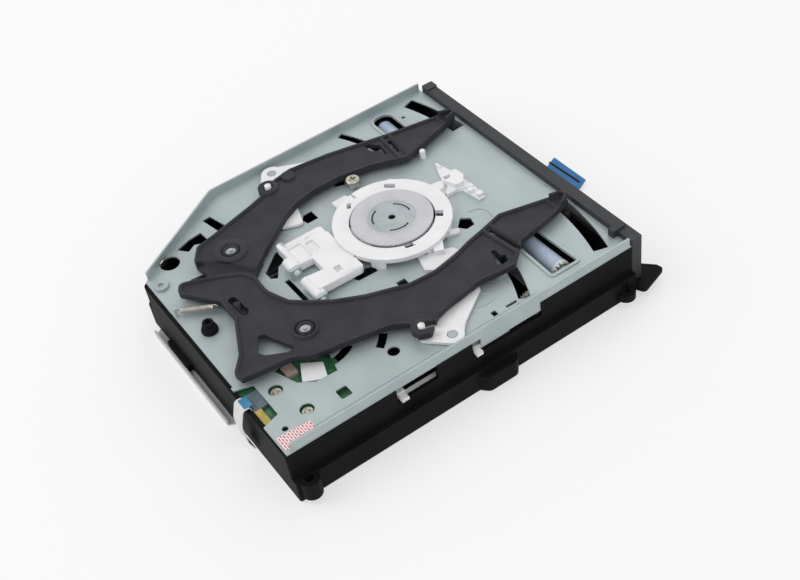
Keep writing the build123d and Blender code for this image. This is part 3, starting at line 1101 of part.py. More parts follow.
# Boards, cables and the small pieces on the plate
def make_boards():
    rear = PLATE_DEPTH - 1.1
    board_edge = [(3.2, 118.6, 1), (38.6, 118.6, 1), (40.6, rear), (3.2, rear)]
    board = slab(face_of(board_edge), BOARD_LOW, BOARD_LOW + BOARD_T)
    screws = None
    for centre in BOARD_SCREWS:
        board -= rod(centre, SCREW_R + 0.2, 0, 40)
        screw = rod(centre, SCREW_R - SEAT, BOARD_LOW - 5, BOARD_LOW + BOARD_T)
        screw += rod(centre, 2.1, BOARD_LOW + BOARD_T, BOARD_LOW + BOARD_T + 1.3)
        screws = screw if screws is None else screws + screw
    add("sensor_board", board)
    add("board_screws", screws)
    top = BOARD_LOW + BOARD_T
    socket = block((25.2, 34.0), (148.0, 155.2), (top, top + 1.5), 0.3)
    socket -= block((26.6 - SEAT, 33.1 + SEAT), (153.4, 156), (top + 0.6 - SEAT, top + 0.6 + CABLE_T + SEAT))
    add("flex_socket", socket)
    add("sensor_lamp", block((22.6, 30.4), (123.6, 129.0), (top, top + 1.4), 0.5))
    main = block((12, 126), (8, 112), (MAIN_BOARD_LOW, MAIN_BOARD_TOP), 1)
    main += block((12, 100), (110, 150), (MAIN_BOARD_LOW, MAIN_BOARD_TOP), 1)
    for centre in COVER_SCREWS:
        main -= rod(centre, 3.4, 0, 10)
    add("main_board", main)
    chips = None
    for across, back, size in CHIP_PLACES:
        chip = block(across, back, (MAIN_BOARD_TOP, MAIN_BOARD_TOP + size))
        chips = chip if chips is None else chips + chip
    add("board_chips", chips)
    add("cable_socket", block((45.6, 70.0), (8.4, 12.4), (MAIN_BOARD_LOW - 1.3, MAIN_BOARD_LOW), 0.3))


def make_cables():
    low = CABLE_HEIGHT
    cable = [(47.0, 8.4), (68.6, 8.4), (68.6, 3.0), (84.0, -30.2), (62.4, -30.2), (47.0, 3.0)]
    add("front_cable", slab(face_of(cable), low, low + CABLE_T))
    # Rear jumper: out of its socket, over the rear wall and down behind it
    across = (26.6, 33.1)
    rear = PLATE_DEPTH + REAR_OUT
    high = PLATE_TOP + 0.4
    low = BOARD_LOW + BOARD_T + 0.6
    path = [(153.5, low), (155.7, low), (156.05, high), (rear + 1.2, high),
            (rear + 3.4, 18.0), (rear + 2.6, 8.0), (rear + 0.9, 3.2)]
    add("rear_cable", ribbon(across, path, CABLE_T))


def ribbon(across, path, thick):
    """Flat cable along (back, height) points, of one width."""
    flat = []
    for index, (back, height) in enumerate(path):
        before = path[max(index - 1, 0)]
        after = path[min(index + 1, len(path) - 1)]
        run = math.dist(before, after)
        flat.append((back - (after[1] - before[1]) / run * thick,
                     height + (after[0] - before[0]) / run * thick))
    edge = [(back - AXIS_BACK, height) for back, height in path]
    edge += [(back - AXIS_BACK, height) for back, height in reversed(flat)]
    x, _ = at(across[0], 0)
    band = extrude(make_face(Polyline(*edge, close=True)), across[1] - across[0])
    return Pos(x, 0, 0) * (Plane.YZ.location * band)


def make_trims():
    post = rod(POST_PLACE, 4.0, PLATE_TOP, PLATE_TOP + 3.0)
    post += rod(POST_PLACE, 3.2, PLATE_TOP + 3.0, PLATE_TOP + 7.6)
    post -= rod(POST_PLACE, 1.5, PLATE_TOP + 5.4, PLATE_TOP + 9)
    add("bumper_post", post + rod(POST_PLACE, STEM_R, PLATE_UNDER - 0.8, PLATE_TOP))
    screw = rod(SKEW_PLACE, STEM_R, PLATE_UNDER - 0.6, PLATE_TOP + 3.4)
    screw += rod(SKEW_PLACE, 2.9, PLATE_TOP + 2.4, PLATE_TOP + 4.0)
    screw += rod(SKEW_PLACE, 2.0, PLATE_TOP, PLATE_TOP + 2.4)
    screw -= rod(SKEW_PLACE, 0.8, PLATE_TOP + 3.0, PLATE_TOP + 5)
    add("skew_screw", screw)
    peg = rod(PEG_PLACE, 1.7, PLATE_TOP, PLATE_TOP + 4.4)
    peg += rod(PEG_PLACE, STEM_R, PLATE_UNDER - 0.6, PLATE_TOP)
    add("stop_peg", peg)
    latch = slab(face_of(LATCH_BASE), PLATE_TOP, PLATE_TOP + 0.8)
    for piece, height in LATCH_PIECES:
        latch += slab(face_of(piece), PLATE_TOP, PLATE_TOP + height)
    add("front_latch", latch)
    start, end = SPRING_ENDS
    run = math.dist(start, end)
    heading = math.degrees(math.atan2(end[1] - start[1], end[0] - start[0]))
    x, y = at(*start)
    coil = Rot(0, 90, 0) * Cylinder(1.9, run, align=(Align.CENTER, Align.CENTER, Align.MIN))
    add("lever_spring", Pos(x, y, PLATE_TOP + 2.4) * Rot(0, 0, heading) * coil)
    seal = [(1.0, 142.2), (8.0, 142.2), (8.8, 156.0), (1.6, 156.0)]
    add("seal_label", slab(face_of(seal), PLATE_TOP, PLATE_TOP + 0.12))


def make_floor_parts():
    add("top_plate", make_plate())
    make_chassis()
    make_cover()
    make_bezel()
    make_train()
    make_roller()
    make_slider()
    make_traverse()
    make_boards()
    make_cables()
    make_trims()


make_levers()
make_clamp()
make_floor_parts()

os.makedirs("parts", exist_ok=True)
for name, shape in nodes.items():
    export_step(Part() + shape, f"parts/{name}.step")
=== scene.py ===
# Looks of a slot-loading optical drive from a games console, with its lid off: a zinc-plated
# top plate with two black centring levers and a white magnetic clamp, on a black moulded chassis.
# Metres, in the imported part's own frame: +Z up, the disc slot towards -Y. Places named
# "across, back" are millimetres from the top plate's front left corner.
import json
import math

import bmesh
import bpy
from mathutils import Matrix, Vector


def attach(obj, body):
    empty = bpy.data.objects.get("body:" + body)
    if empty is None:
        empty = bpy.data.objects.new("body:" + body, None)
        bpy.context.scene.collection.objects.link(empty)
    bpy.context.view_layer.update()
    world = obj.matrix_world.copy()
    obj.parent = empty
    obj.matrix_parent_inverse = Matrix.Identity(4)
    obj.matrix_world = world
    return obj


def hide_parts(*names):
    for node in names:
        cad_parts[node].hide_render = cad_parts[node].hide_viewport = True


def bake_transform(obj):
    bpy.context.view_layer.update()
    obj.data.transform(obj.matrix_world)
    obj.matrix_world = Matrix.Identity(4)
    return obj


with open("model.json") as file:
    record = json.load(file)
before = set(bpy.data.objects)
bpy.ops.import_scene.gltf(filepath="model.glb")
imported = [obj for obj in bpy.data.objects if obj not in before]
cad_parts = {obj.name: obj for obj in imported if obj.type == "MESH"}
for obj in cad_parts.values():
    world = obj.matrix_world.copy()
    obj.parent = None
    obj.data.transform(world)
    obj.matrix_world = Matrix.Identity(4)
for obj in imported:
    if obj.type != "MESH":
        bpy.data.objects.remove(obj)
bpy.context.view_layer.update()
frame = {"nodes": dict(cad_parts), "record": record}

MM = 0.001
AXIS_ACROSS = 72.0
AXIS_BACK = 62.5
PLATE_TOP = 24.0


def spot(across, back, height):
    """Model point, in metres, of a place on the drive given in millimetres."""
    return Vector(((across - AXIS_ACROSS) * MM, (back - AXIS_BACK) * MM, height * MM))


# Camera, fitted to the plate's corners in the photograph; the directions are unit vectors
CAMERA_PLACE = (-0.33666, 0.17848, 0.35590)
CAMERA_RIGHT = (-0.56374, -0.81645, -0.12490)
CAMERA_DOWN = (-0.52493, 0.47092, -0.70900)
CAMERA_FORWARD = (0.63768, -0.33413, -0.69406)
SENSOR_MM = 36.0
FOCAL_MM = 56.08

view = bpy.data.cameras.new("camera")
view.sensor_width = SENSOR_MM
view.sensor_fit = "HORIZONTAL"
view.lens = FOCAL_MM
view.clip_start = 0.01
camera = bpy.data.objects.new("camera", view)
bpy.context.scene.collection.objects.link(camera)
turn = Matrix((CAMERA_RIGHT, [-v for v in CAMERA_DOWN], [-v for v in CAMERA_FORWARD])).transposed()
camera.matrix_world = Matrix.Translation(CAMERA_PLACE) @ turn.to_4x4()
bpy.context.scene.camera = camera
bpy.context.scene.view_settings.view_transform = "Standard"


# Colours, nodes and materials
def linear(hexa):
    """Linear RGBA of an sRGB hex colour."""
    parts = [int(hexa[i:i + 2], 16) / 255 for i in (0, 2, 4)]
    return tuple(p / 12.92 if p <= 0.04045 else ((p + 0.055) / 1.055) ** 2.4 for p in parts) + (1.0,)


def put(tree, kind, links=(), **settings):
    """Add a node; settings go to its properties or input sockets, links are (input, node, output)."""
    made = tree.nodes.new(kind)
    for name, value in settings.items():
        if name.startswith("in_"):
            made.inputs[int(name[3:])].default_value = value
        else:
            setattr(made, name, value)
    for entry, source, output in links:
        tree.links.new(source.outputs[output], made.inputs[entry])
    return made


def surface(name, light, dark, roughness, cloud_mm, grain_mm, grain_depth_mm=0.02, metallic=0.0, shine=0.5,
            edge_mm=0.25, stretch=(1, 1, 1), rough_spread=0.06, coat=0.0):
    """Material with a cloudy colour between two close tones, a fine grain and softened edges."""
    material = bpy.data.materials.new(name)
    material.use_nodes = True
    tree = material.node_tree
    shade = tree.nodes["Principled BSDF"]
    shade.inputs["Metallic"].default_value = metallic
    shade.inputs["Specular IOR Level"].default_value = shine
    shade.inputs["Coat Weight"].default_value = coat
    place = put(tree, "ShaderNodeTexCoord")
    mapped = put(tree, "ShaderNodeMapping", [("Vector", place, "Object")])
    mapped.inputs["Scale"].default_value = stretch
    cloud = put(tree, "ShaderNodeTexNoise", [("Vector", mapped, "Vector")])
    cloud.inputs["Scale"].default_value = 1000 / cloud_mm
    cloud.inputs["Detail"].default_value = 4.0
    tones = put(tree, "ShaderNodeValToRGB", [("Fac", cloud, "Fac")])
    tones.color_ramp.elements[0].position = 0.32
    tones.color_ramp.elements[1].position = 0.68
    tones.color_ramp.elements[0].color = linear(dark)
    tones.color_ramp.elements[1].color = linear(light)
    tree.links.new(tones.outputs["Color"], shade.inputs["Base Color"])
    grain = put(tree, "ShaderNodeTexNoise", [("Vector", mapped, "Vector")])
    grain.inputs["Scale"].default_value = 1000 / grain_mm
    grain.inputs["Detail"].default_value = 3.0
    rough = put(tree, "ShaderNodeMapRange", [("Value", grain, "Fac")])
    rough.inputs["To Min"].default_value = roughness - rough_spread
    rough.inputs["To Max"].default_value = roughness + rough_spread
    tree.links.new(rough.outputs["Result"], shade.inputs["Roughness"])
    edges = put(tree, "ShaderNodeBevel")
    edges.samples = 4
    edges.inputs["Radius"].default_value = edge_mm * MM
    bump = put(tree, "ShaderNodeBump", [("Height", grain, "Fac"), ("Normal", edges, "Normal")])
    bump.inputs["Strength"].default_value = 0.6
    bump.inputs["Distance"].default_value = grain_depth_mm * MM
    tree.links.new(bump.outputs["Normal"], shade.inputs["Normal"])
    return material


# Electro-galvanised sheet: pale grey-green, soft sheen, rolled along the drive's width
zinc_sheet = surface("zinc_plated_steel", "B4BFC0", "A9B4B6", 0.5, 14, 0.7, metallic=0.35,
                     stretch=(0.4, 1, 1))
# The cover below is the same sheet with a brighter finish
cover_sheet = surface("zinc_plated_cover", "C6C8C6", "B4B8B6", 0.42, 16, 0.7, metallic=0.5,
                      stretch=(0.4, 1, 1))
# Nickelled deck: smoother and a little darker than the plate
deck_sheet = surface("nickel_plated_deck", "A4ACAE", "949C9F", 0.38, 12, 0.6, metallic=0.7)
# Glass-filled ABS of the levers: dark violet grey with a fine spark-eroded texture
lever_abs = surface("spark_textured_abs", "37373C", "2E2E33", 0.55, 9, 0.45, grain_depth_mm=0.03, shine=0.2)
# Housing: near black, semi-matte, with soft moulded edges that catch a thin light line
housing_abs = surface("moulded_housing_abs", "1A1B1B", "141515", 0.55, 12, 0.6,
                      grain_depth_mm=0.02, shine=0.05)
bezel_abs = surface("moulded_bezel_abs", "3E4042", "37393B", 0.5, 10, 0.5, shine=0.2)
# Traverse frame, deep in the drive: black and dull
frame_abs = surface("moulded_frame_abs", "1B1D1E", "151617", 0.5, 12, 0.6, shine=0.15)
# Acetal: bright white, waxy
white_acetal = surface("moulded_acetal", "F4F4F5", "ECECEE", 0.42, 10, 0.6, grain_depth_mm=0.01, shine=0.3)
gear_acetal = surface("gear_acetal", "E4E4DE", "D8D8D1", 0.38, 6, 0.5, grain_depth_mm=0.01, shine=0.3)
black_acetal = surface("black_acetal", "232427", "1B1C1E", 0.4, 6, 0.5, grain_depth_mm=0.01, shine=0.3)
# Clamp disc: greyer acetal, turned smooth on its face
clamp_acetal = surface("grey_white_acetal", "CFCFD4", "C6C6CC", 0.36, 8, 0.6, grain_depth_mm=0.01, shine=0.3)
turned_steel = surface("turned_steel", "B1B8BB", "A2AAAD", 0.34, 5, 0.3, metallic=0.7, grain_depth_mm=0.01)
motor_can = surface("drawn_motor_can", "B0B4B4", "A0A4A4", 0.34, 8, 0.5, metallic=0.8)
magnet_nickel = surface("nickelled_magnet", "55575B", "46484C", 0.32, 6, 0.4, metallic=0.8)
# Spring wire: drawn, bright where it turns to the light, oily between the coils
spring_wire = surface("spring_wire", "D8D4CC", "B4B0A8", 0.3, 2, 0.2, metallic=0.9,
                      grain_depth_mm=0.005, edge_mm=0.05)
screw_zinc = surface("pale_zinc_screw", "C6C4B8", "AAA89B", 0.34, 2, 0.25, metallic=0.8, edge_mm=0.12)
# Feed roller: pale blue silicone, dull and slightly translucent to the eye
roller_silicone = surface("roller_silicone", "BCCADD", "A6B6CC", 0.55, 6, 0.5, shine=0.25)
damper_butyl = surface("damper_butyl", "232527", "1C1D1F", 0.65, 4, 0.4, shine=0.2)
sled_zinc = surface("die_cast_sled", "7E8486", "6B7173", 0.48, 6, 0.5, metallic=0.7)
turntable_black = surface("turntable_black", "26282B", "1E2022", 0.42, 6, 0.5, shine=0.3)
# Solder mask over copper: green, glossy, with darker tracks
board_mask = surface("solder_mask", "468159", "2F5E42", 0.34, 2.6, 0.8,
                     grain_depth_mm=0.02, coat=0.2, shine=0.3)
chip_resin = surface("chip_resin", "202124", "18191B", 0.5, 4, 0.3, shine=0.25)
socket_nylon = surface("socket_nylon", "66727A", "566269", 0.45, 3, 0.4, shine=0.3)
blue_film = surface("blue_film", "1272B0", "0F66A2", 0.34, 6, 0.6, grain_depth_mm=0.005, shine=0.3)
white_film = surface("white_film", "E6E5E2", "D6D5D2", 0.36, 5, 0.6, grain_depth_mm=0.005, shine=0.3)
pinion_brass = surface("turned_brass", "D2B26A", "BE9C56", 0.28, 3, 0.3, metallic=1.0)
# Small parts of the sensor board
tan_ceramic = surface("tan_ceramic", "A8968C", "948279", 0.5, 2, 0.3, shine=0.3)
blue_backing = surface("blue_backing", "438AB5", "3A7CA6", 0.4, 3, 0.5, grain_depth_mm=0.005, shine=0.3)
gold_foam = surface("gold_foam", "BFAE66", "A4954F", 0.6, 2, 0.4, shine=0.2)
# Painted shade: a near-black dull film for the dark line of a recess across the front cable's stiffener
painted_recess_shade = surface("painted_recess_shade", "2B2A26", "201F1C", 0.6, 2, 0.3, shine=0.1)


def plain_glass(name, hexa):
    """Coated lens glass, see-through with a blue tint."""
    material = bpy.data.materials.new(name)
    material.use_nodes = True
    shade = material.node_tree.nodes["Principled BSDF"]
    shade.inputs["Base Color"].default_value = linear(hexa)
    shade.inputs["Roughness"].default_value = 0.03
    shade.inputs["IOR"].default_value = 1.52
    shade.inputs["Transmission Weight"].default_value = 0.9
    return material


lens_glass = plain_glass("coated_lens_glass", "B4C8E6")


DASH_SCALE = 500.0
DASH_GAP = 0.125
DASH_LENGTH = 0.95
DASH_ROW = 0.48


def seal_print():
    """White film with a plain print of short red dashes, each about 1.8 mm by 0.9 mm."""
    material = surface("printed_seal_film", "F0DCDC", "E8CFD0", 0.4, 4, 0.5, grain_depth_mm=0.005)
    tree = material.node_tree
    shade = tree.nodes["Principled BSDF"]
    place = put(tree, "ShaderNodeTexCoord")
    dashes = put(tree, "ShaderNodeTexBrick", [("Vector", place, "Object")])
    dashes.inputs["Color1"].default_value = linear("C23E4E")
    dashes.inputs["Color2"].default_value = linear("DB7C86")
    dashes.inputs["Mortar"].default_value = linear("F4EAE8")
    dashes.inputs["Scale"].default_value = DASH_SCALE
    dashes.inputs["Mortar Size"].default_value = DASH_GAP
    dashes.inputs["Brick Width"].default_value = DASH_LENGTH
    dashes.inputs["Row Height"].default_value = DASH_ROW
    tree.links.new(dashes.outputs["Color"], shade.inputs["Base Color"])
    return material


FINISHES = {
    "plate_steel": zinc_sheet,
    "cover_steel": cover_sheet,
    "deck_steel": deck_sheet,
    "lever_black": lever_abs,
    "housing_black": housing_abs,
    "bezel_grey": bezel_abs,
    "frame_black": frame_abs,
    "white_plastic": white_acetal,
    "gear_white": gear_acetal,
    "gear_black": black_acetal,
    "clamp_white": clamp_acetal,
    "turned_steel": turned_steel,
    "motor_steel": motor_can,
    "magnet_dark": magnet_nickel,
    "spring_steel": spring_wire,
    "screw_steel": screw_zinc,
    "roller_rubber": roller_silicone,
    "damper_rubber": damper_butyl,
    "sled_metal": sled_zinc,
    "turntable_black": turntable_black,
    "lens_glass": lens_glass,
    "board_green": board_mask,
    "chip_black": chip_resin,
    "socket_grey": socket_nylon,
    "cable_blue": blue_film,
    "cable_white": white_film,
    "seal_pink": seal_print(),
    "brass_pinion": pinion_brass,
}
for entry in frame["record"]["subparts"]:
    mesh = frame["nodes"][entry["node"]].data
    mesh.materials.clear()
    mesh.materials.append(FINISHES[entry["material_slot"]])


# Floor, backdrop and lamps
FLOOR_GLOW = 0.55


def white_rays(tree):
    """Node that is 1 for the rays that show the white background: seen, mirrored or through glass."""
    path = put(tree, "ShaderNodeLightPath")
    seen = put(tree, "ShaderNodeMath", [(0, path, "Is Camera Ray"), (1, path, "Is Glossy Ray")],
               operation="ADD")
    return put(tree, "ShaderNodeMath", [(0, seen, "Value"), (1, path, "Is Transmission Ray")],
               operation="ADD", use_clamp=True)


def floor_white():
    """Matt white floor that reads as a white background and keeps the shadow."""
    material = bpy.data.materials.new("floor_white")
    material.use_nodes = True
    tree = material.node_tree
    shade = tree.nodes["Principled BSDF"]
    shade.inputs["Base Color"].default_value = linear("F8F8F8")
    shade.inputs["Roughness"].default_value = 0.9
    light = put(tree, "ShaderNodeEmission")
    light.inputs["Color"].default_value = linear("FFFFFF")
    light.inputs["Strength"].default_value = 1.0
    share = put(tree, "ShaderNodeMath", [(0, white_rays(tree), "Value")],
                operation="MULTIPLY", in_1=FLOOR_GLOW)
    blend = put(tree, "ShaderNodeMixShader",
                [("Fac", share, "Value"), (1, shade, "BSDF"), (2, light, "Emission")])
    tree.links.new(blend.outputs["Shader"], tree.nodes["Material Output"].inputs["Surface"])
    return material


FLOOR_HALF = 4.0
FLOOR_LEVEL = -0.0002
floor_mesh = bpy.data.meshes.new("floor")
shape = bmesh.new()
bmesh.ops.create_grid(shape, x_segments=1, y_segments=1, size=FLOOR_HALF)
shape.to_mesh(floor_mesh)
shape.free()
floor = bpy.data.objects.new("floor", floor_mesh)
bpy.context.scene.collection.objects.link(floor)
floor.location.z = FLOOR_LEVEL
floor_mesh.materials.append(floor_white())

WORLD_LEVEL = 0.68
world = bpy.data.worlds.new("studio")
bpy.context.scene.world = world
world.use_nodes = True
tree = world.node_tree
soft = tree.nodes["Background"]
soft.inputs["Color"].default_value = linear("FFFFFF")
soft.inputs["Strength"].default_value = WORLD_LEVEL
backdrop = put(tree, "ShaderNodeBackground")
backdrop.inputs["Color"].default_value = linear("FFFFFF")
mixed = put(tree, "ShaderNodeMixShader", [("Fac", white_rays(tree), "Value"), (1, soft, "Background"),
                                          (2, backdrop, "Background")])
tree.links.new(mixed.outputs["Shader"], tree.nodes["World Output"].inputs["Surface"])


def lamp(name, place, aim, size, power):
    """Square soft box aimed at a point."""
    light = bpy.data.lights.new(name, "AREA")
    light.size = size
    light.energy = power
    made = bpy.data.objects.new(name, light)
    bpy.context.scene.collection.objects.link(made)
    made.location = place
    made.rotation_euler = (Vector(aim) - Vector(place)).to_track_quat("-Z", "Y").to_euler()


lamp("soft_box_rear", (0.35, 0.75, 0.95), (0, 0, 0), 0.7, 3.6)
lamp("soft_box_left", (-0.9, -0.25, 0.8), (0, 0, 0), 0.8, 1.2)
lamp("soft_box_front", (0.5, -0.9, 0.7), (0, 0, 0), 0.8, 1.8)


# Shapes that only Blender makes
def arc_corner(before, corner, after, radius):
    """Points that round a corner between its two neighbours."""
    to_before = before - corner
    to_after = after - corner
    reach = radius / math.tan(to_before.angle(to_after) / 2)
    reach = min(reach, 0.45 * to_before.length, 0.45 * to_after.length)
    start = corner + to_before.normalized() * reach
    end = corner + to_after.normalized() * reach
    return [start.lerp(corner, t).lerp(corner.lerp(end, t), t) for t in (0, 0.25, 0.5, 0.75, 1)]


def rounded(places, radii, close=True):
    """Line through the places, each corner rounded by its radius in millimetres."""
    line = []
    for index, (place, radius) in enumerate(zip(places, radii)):
        inner = close or 0 < index < len(places) - 1
        if radius and inner:
            line += arc_corner(places[index - 1], place, places[(index + 1) % len(places)], radius * MM)
        else:
            line.append(place)
    return line


def outline(corners):
    """Closed line from corners given as across, back and, where the corner is round, its radius."""
    places = [spot(across, back, 0) for across, back, *_ in corners]
    return rounded(places, [corner[2] if len(corner) > 2 else 0 for corner in corners])


def arc(centre, radius, start, end, steps=24):
    """Points round a centre, from one angle in degrees to another."""
    turns = [math.radians(start + (end - start) * index / steps) for index in range(steps + 1)]
    return [spot(centre[0] + radius * math.cos(t), centre[1] + radius * math.sin(t), 0) for t in turns]


def circle(centre, radius, steps=64):
    """Outline of a circle."""
    return arc(centre, radius, 0, 360, steps)[:-1]


def sector(centre, inner, outer, start, end):
    """Outline of a piece of a ring, between two angles."""
    return arc(centre, outer, start, end) + arc(centre, inner, end, start)


def rectangle(across, back):
    """Outline of a rectangle from its two spans."""
    return outline([(across[0], back[0]), (across[1], back[0]), (across[1], back[1]), (across[0], back[1])])


def bar_between(start, end, radius):
    """Round-ended bar's outline."""
    heading = math.degrees(math.atan2(end[1] - start[1], end[0] - start[0]))
    return arc(end, radius, heading - 90, heading + 90) + arc(start, radius, heading + 90, heading + 270)


def mesh_of(shape):
    """Mesh of a shape, its faces turned outwards."""
    bmesh.ops.recalc_face_normals(shape, faces=shape.faces)
    mesh = bpy.data.meshes.new("made")
    shape.to_mesh(mesh)
    shape.free()
    return mesh


def prism(line, low, high):
    """Closed solid over a flat line, between two heights in millimetres."""
    shape = bmesh.new()
    foot = [shape.verts.new((p.x, p.y, low * MM)) for p in line]
    head = [shape.verts.new((p.x, p.y, high * MM)) for p in line]
    shape.faces.new(foot)
    shape.faces.new(head)
    for index in range(len(line)):
        after = (index + 1) % len(line)
        shape.faces.new((foot[index], foot[after], head[after], head[index]))
    return mesh_of(shape)


def turned(centre, profile, steps=40):
    """Turned solid from (radius, height) pairs, which start and end on the axis."""
    shape = bmesh.new()
    rings = []
    for radius, height in profile:
        count = steps if radius else 1
        turns = [2 * math.pi * index / count for index in range(count)]
        places = [spot(centre[0] + radius * math.cos(t), centre[1] + radius * math.sin(t), height)
                  for t in turns]
        rings.append([shape.verts.new(place) for place in places])
    for first, second in zip(rings, rings[1:]):
        for index in range(steps):
            after = (index + 1) % steps
            corners = [first[index % len(first)], first[after % len(first)],
                       second[after % len(second)], second[index % len(second)]]
            shape.faces.new(list(dict.fromkeys(corners)))
    return mesh_of(shape)


def band(route, sides, thickness):
    """Flat cable that follows back and height places, with round bends."""
    centre = rounded([Vector((0, (back - AXIS_BACK) * MM, height * MM)) for back, height, _ in route],
                     [radius for *_, radius in route], close=False)
    left, right = [(side - AXIS_ACROSS) * MM for side in sides]
    shape = bmesh.new()
    rows = []
    for index, point in enumerate(centre):
        ahead = centre[min(index + 1, len(centre) - 1)] - centre[max(index - 1, 0)]
        out = Vector((0, -ahead.z, ahead.y)).normalized() * thickness * MM / 2
        rows.append([shape.verts.new((x, place.y, place.z)) for x, place in
                     ((left, point - out), (right, point - out), (right, point + out), (left, point + out))])
    for first, second in zip(rows, rows[1:]):
        for index in range(4):
            after = (index + 1) % 4
            shape.faces.new((first[index], first[after], second[after], second[index]))
    shape.faces.new(rows[0])
    shape.faces.new(rows[-1])
    return mesh_of(shape)


def tube(points, radius, sides=8):
    """Round wire through the points."""
    shape = bmesh.new()
    rings = []
    normal = Vector((0, 0, 1))
    for index, point in enumerate(points):
        ahead = points[min(index + 1, len(points) - 1)] - points[max(index - 1, 0)]
        ahead.normalize()
        side = ahead.cross(normal)
        if side.length < 1e-3:
            side = ahead.cross(Vector((1, 0, 0)))
        side.normalize()
        up = side.cross(ahead).normalized()
        normal = up
        ring = []
        for step in range(sides):
            angle = 2 * math.pi * step / sides
            ring.append(shape.verts.new(point + radius * (math.cos(angle) * side + math.sin(angle) * up)))
        rings.append(ring)
    for first, second in zip(rings, rings[1:]):
        for step in range(sides):
            after = (step + 1) % sides
            shape.faces.new((first[step], first[after], second[after], second[step]))
    shape.faces.new(list(reversed(rings[0])))
    shape.faces.new(rings[-1])
    return mesh_of(shape)


def coil_turns(start, end, radius, turns, up):
    """Points of a coil round the line from start to end."""
    side = (end - start).normalized().cross(up).normalized()
    steps = 14
    points = []
    for index in range(turns * steps + 1):
        angle = 2 * math.pi * index / steps
        centre = start.lerp(end, index / (turns * steps))
        points.append(centre + radius * (math.cos(angle) * up + math.sin(angle) * side))
    return points


def raised(pairs):
    """Profile heights over the plate, as model heights."""
    return [(radius, PLATE_TOP + height) for radius, height in pairs]


SCREW_SLOT = 0.5


def cross(centre, reach):
    """Outlines of a cross recess."""
    across, back = centre
    return (rectangle((across - reach, across + reach), (back - SCREW_SLOT, back + SCREW_SLOT)),
            rectangle((across - SCREW_SLOT, across + SCREW_SLOT), (back - reach, back + reach)))


def carved(base, add=(), cut=()):
    """Base solid with other solids added to it and then cut from it."""
    body = bpy.data.objects.new("base", base)
    tools = [body]
    for operation, meshes in (("UNION", add), ("DIFFERENCE", cut)):
        for mesh in meshes:
            tool = bpy.data.objects.new("tool", mesh)
            tools.append(tool)
            step = body.modifiers.new("step", "BOOLEAN")
            step.operation = operation
            step.solver = "EXACT"
            step.object = tool
    for tool in tools:
        bpy.context.scene.collection.objects.link(tool)
    result = bpy.data.meshes.new_from_object(body.evaluated_get(bpy.context.evaluated_depsgraph_get()))
    for tool in tools:
        bpy.data.objects.remove(tool)
    return result


def cad_copy(node, reshape=None):
    """Welded copy of a node's mesh, with each point moved by reshape."""
    shape = bmesh.new()
    shape.from_mesh(frame["nodes"][node].data)
    bmesh.ops.remove_doubles(shape, verts=shape.verts, dist=0.001 * MM)
    if reshape:
        for point in shape.verts:
            point.co = reshape(point.co)
    return mesh_of(shape)


SMOOTH_ANGLE = math.radians(28)
SLOT_OF = {entry["node"]: entry["material_slot"] for entry in frame["record"]["subparts"]}


def piece(name, mesh, material, body):
    """A finished mesh as a piece that rides on a body."""
    mesh.name = name
    mesh.materials.clear()
    mesh.materials.append(material)
    for face in mesh.polygons:
        face.use_smooth = True
        face.material_index = 0
    mesh.set_sharp_from_angle(angle=SMOOTH_ANGLE)
    made = bpy.data.objects.new(name, mesh)
    bpy.context.scene.collection.objects.link(made)
    even = made.modifiers.new("flat_faces_stay_flat", "WEIGHTED_NORMAL")
    even.keep_sharp = True
    if body:
        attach(made, body)
    return made


def stand_in(node, mesh, body):
    """A finer piece in place of a CAD node, in the node's own finish."""
    made = piece(node + "_fine", mesh, FINISHES[SLOT_OF[node]], body)
    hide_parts(node)
    return made


# Levers: openings beside the front ribs, the long link slot and the hollow in the rear foot
LEVER_LOW = PLATE_TOP + 1.0
LEVER_HIGH = PLATE_TOP + 7.0
RIGHT_GAPS = (
    [(106.2, 34.8, 0.8), (115.6, 33.8, 0.8), (115.4, 35.8, 0.8), (107.0, 36.6, 0.8)],
    [(120.2, 44.6, 0.8), (120.0, 42.4, 0.8), (115.9, 39.0, 0.8), (108.6, 39.8), (108.8, 40.8),
     (112.6, 41.4), (114.8, 44.1, 0.8)],
)
LEFT_GAPS = (
    [(21.4, 42.8, 0.8), (24.8, 41.6), (25.8, 43.2), (29.6, 43.2, 0.6), (30.2, 44.6, 0.6),
     (22.6, 47.4, 0.8), (21.2, 46.2, 0.8)],
    [(21.0, 34.4, 0.6), (40.0, 37.0, 0.6), (39.6, 38.6, 0.6), (20.6, 36.2, 0.6)],
    [(52.0, 136.9, 1.2), (44.4, 141.6, 2), (41.6, 140.2, 1), (37.2, 132.6, 1), (37.6, 129.4, 1),
     (44.1, 132.2, 2)],
)
RIGHT_BOSS = (125.2, 80.1)
LINK_SLOT = ((75.4, 135.3), (66.4, 134.9))
LINK_SLOT_R = 1.7
right_boss = prism(circle(RIGHT_BOSS, 3.0, 32), PLATE_TOP + 2.1, PLATE_TOP + 5.2)
right_cuts = [prism(outline(gap), LEVER_LOW, LEVER_HIGH) for gap in RIGHT_GAPS]
# The tongue starts behind the elbow's swing
TONGUE_CUT = ((62, 125), (107.5, 114.5))
right_cuts.append(prism(rectangle(*TONGUE_CUT), PLATE_TOP + 0.1, PLATE_TOP + 1.9))
stand_in("lever_right", carved(cad_copy("lever_right"), [right_boss], right_cuts), "right_lever")
left_cuts = [prism(outline(gap), LEVER_LOW, LEVER_HIGH) for gap in LEFT_GAPS]
left_cuts.append(prism(bar_between(*LINK_SLOT, LINK_SLOT_R), PLATE_TOP + 2.5, LEVER_HIGH))
stand_in("lever_left", carved(cad_copy("lever_left"), (), left_cuts), "left_lever")

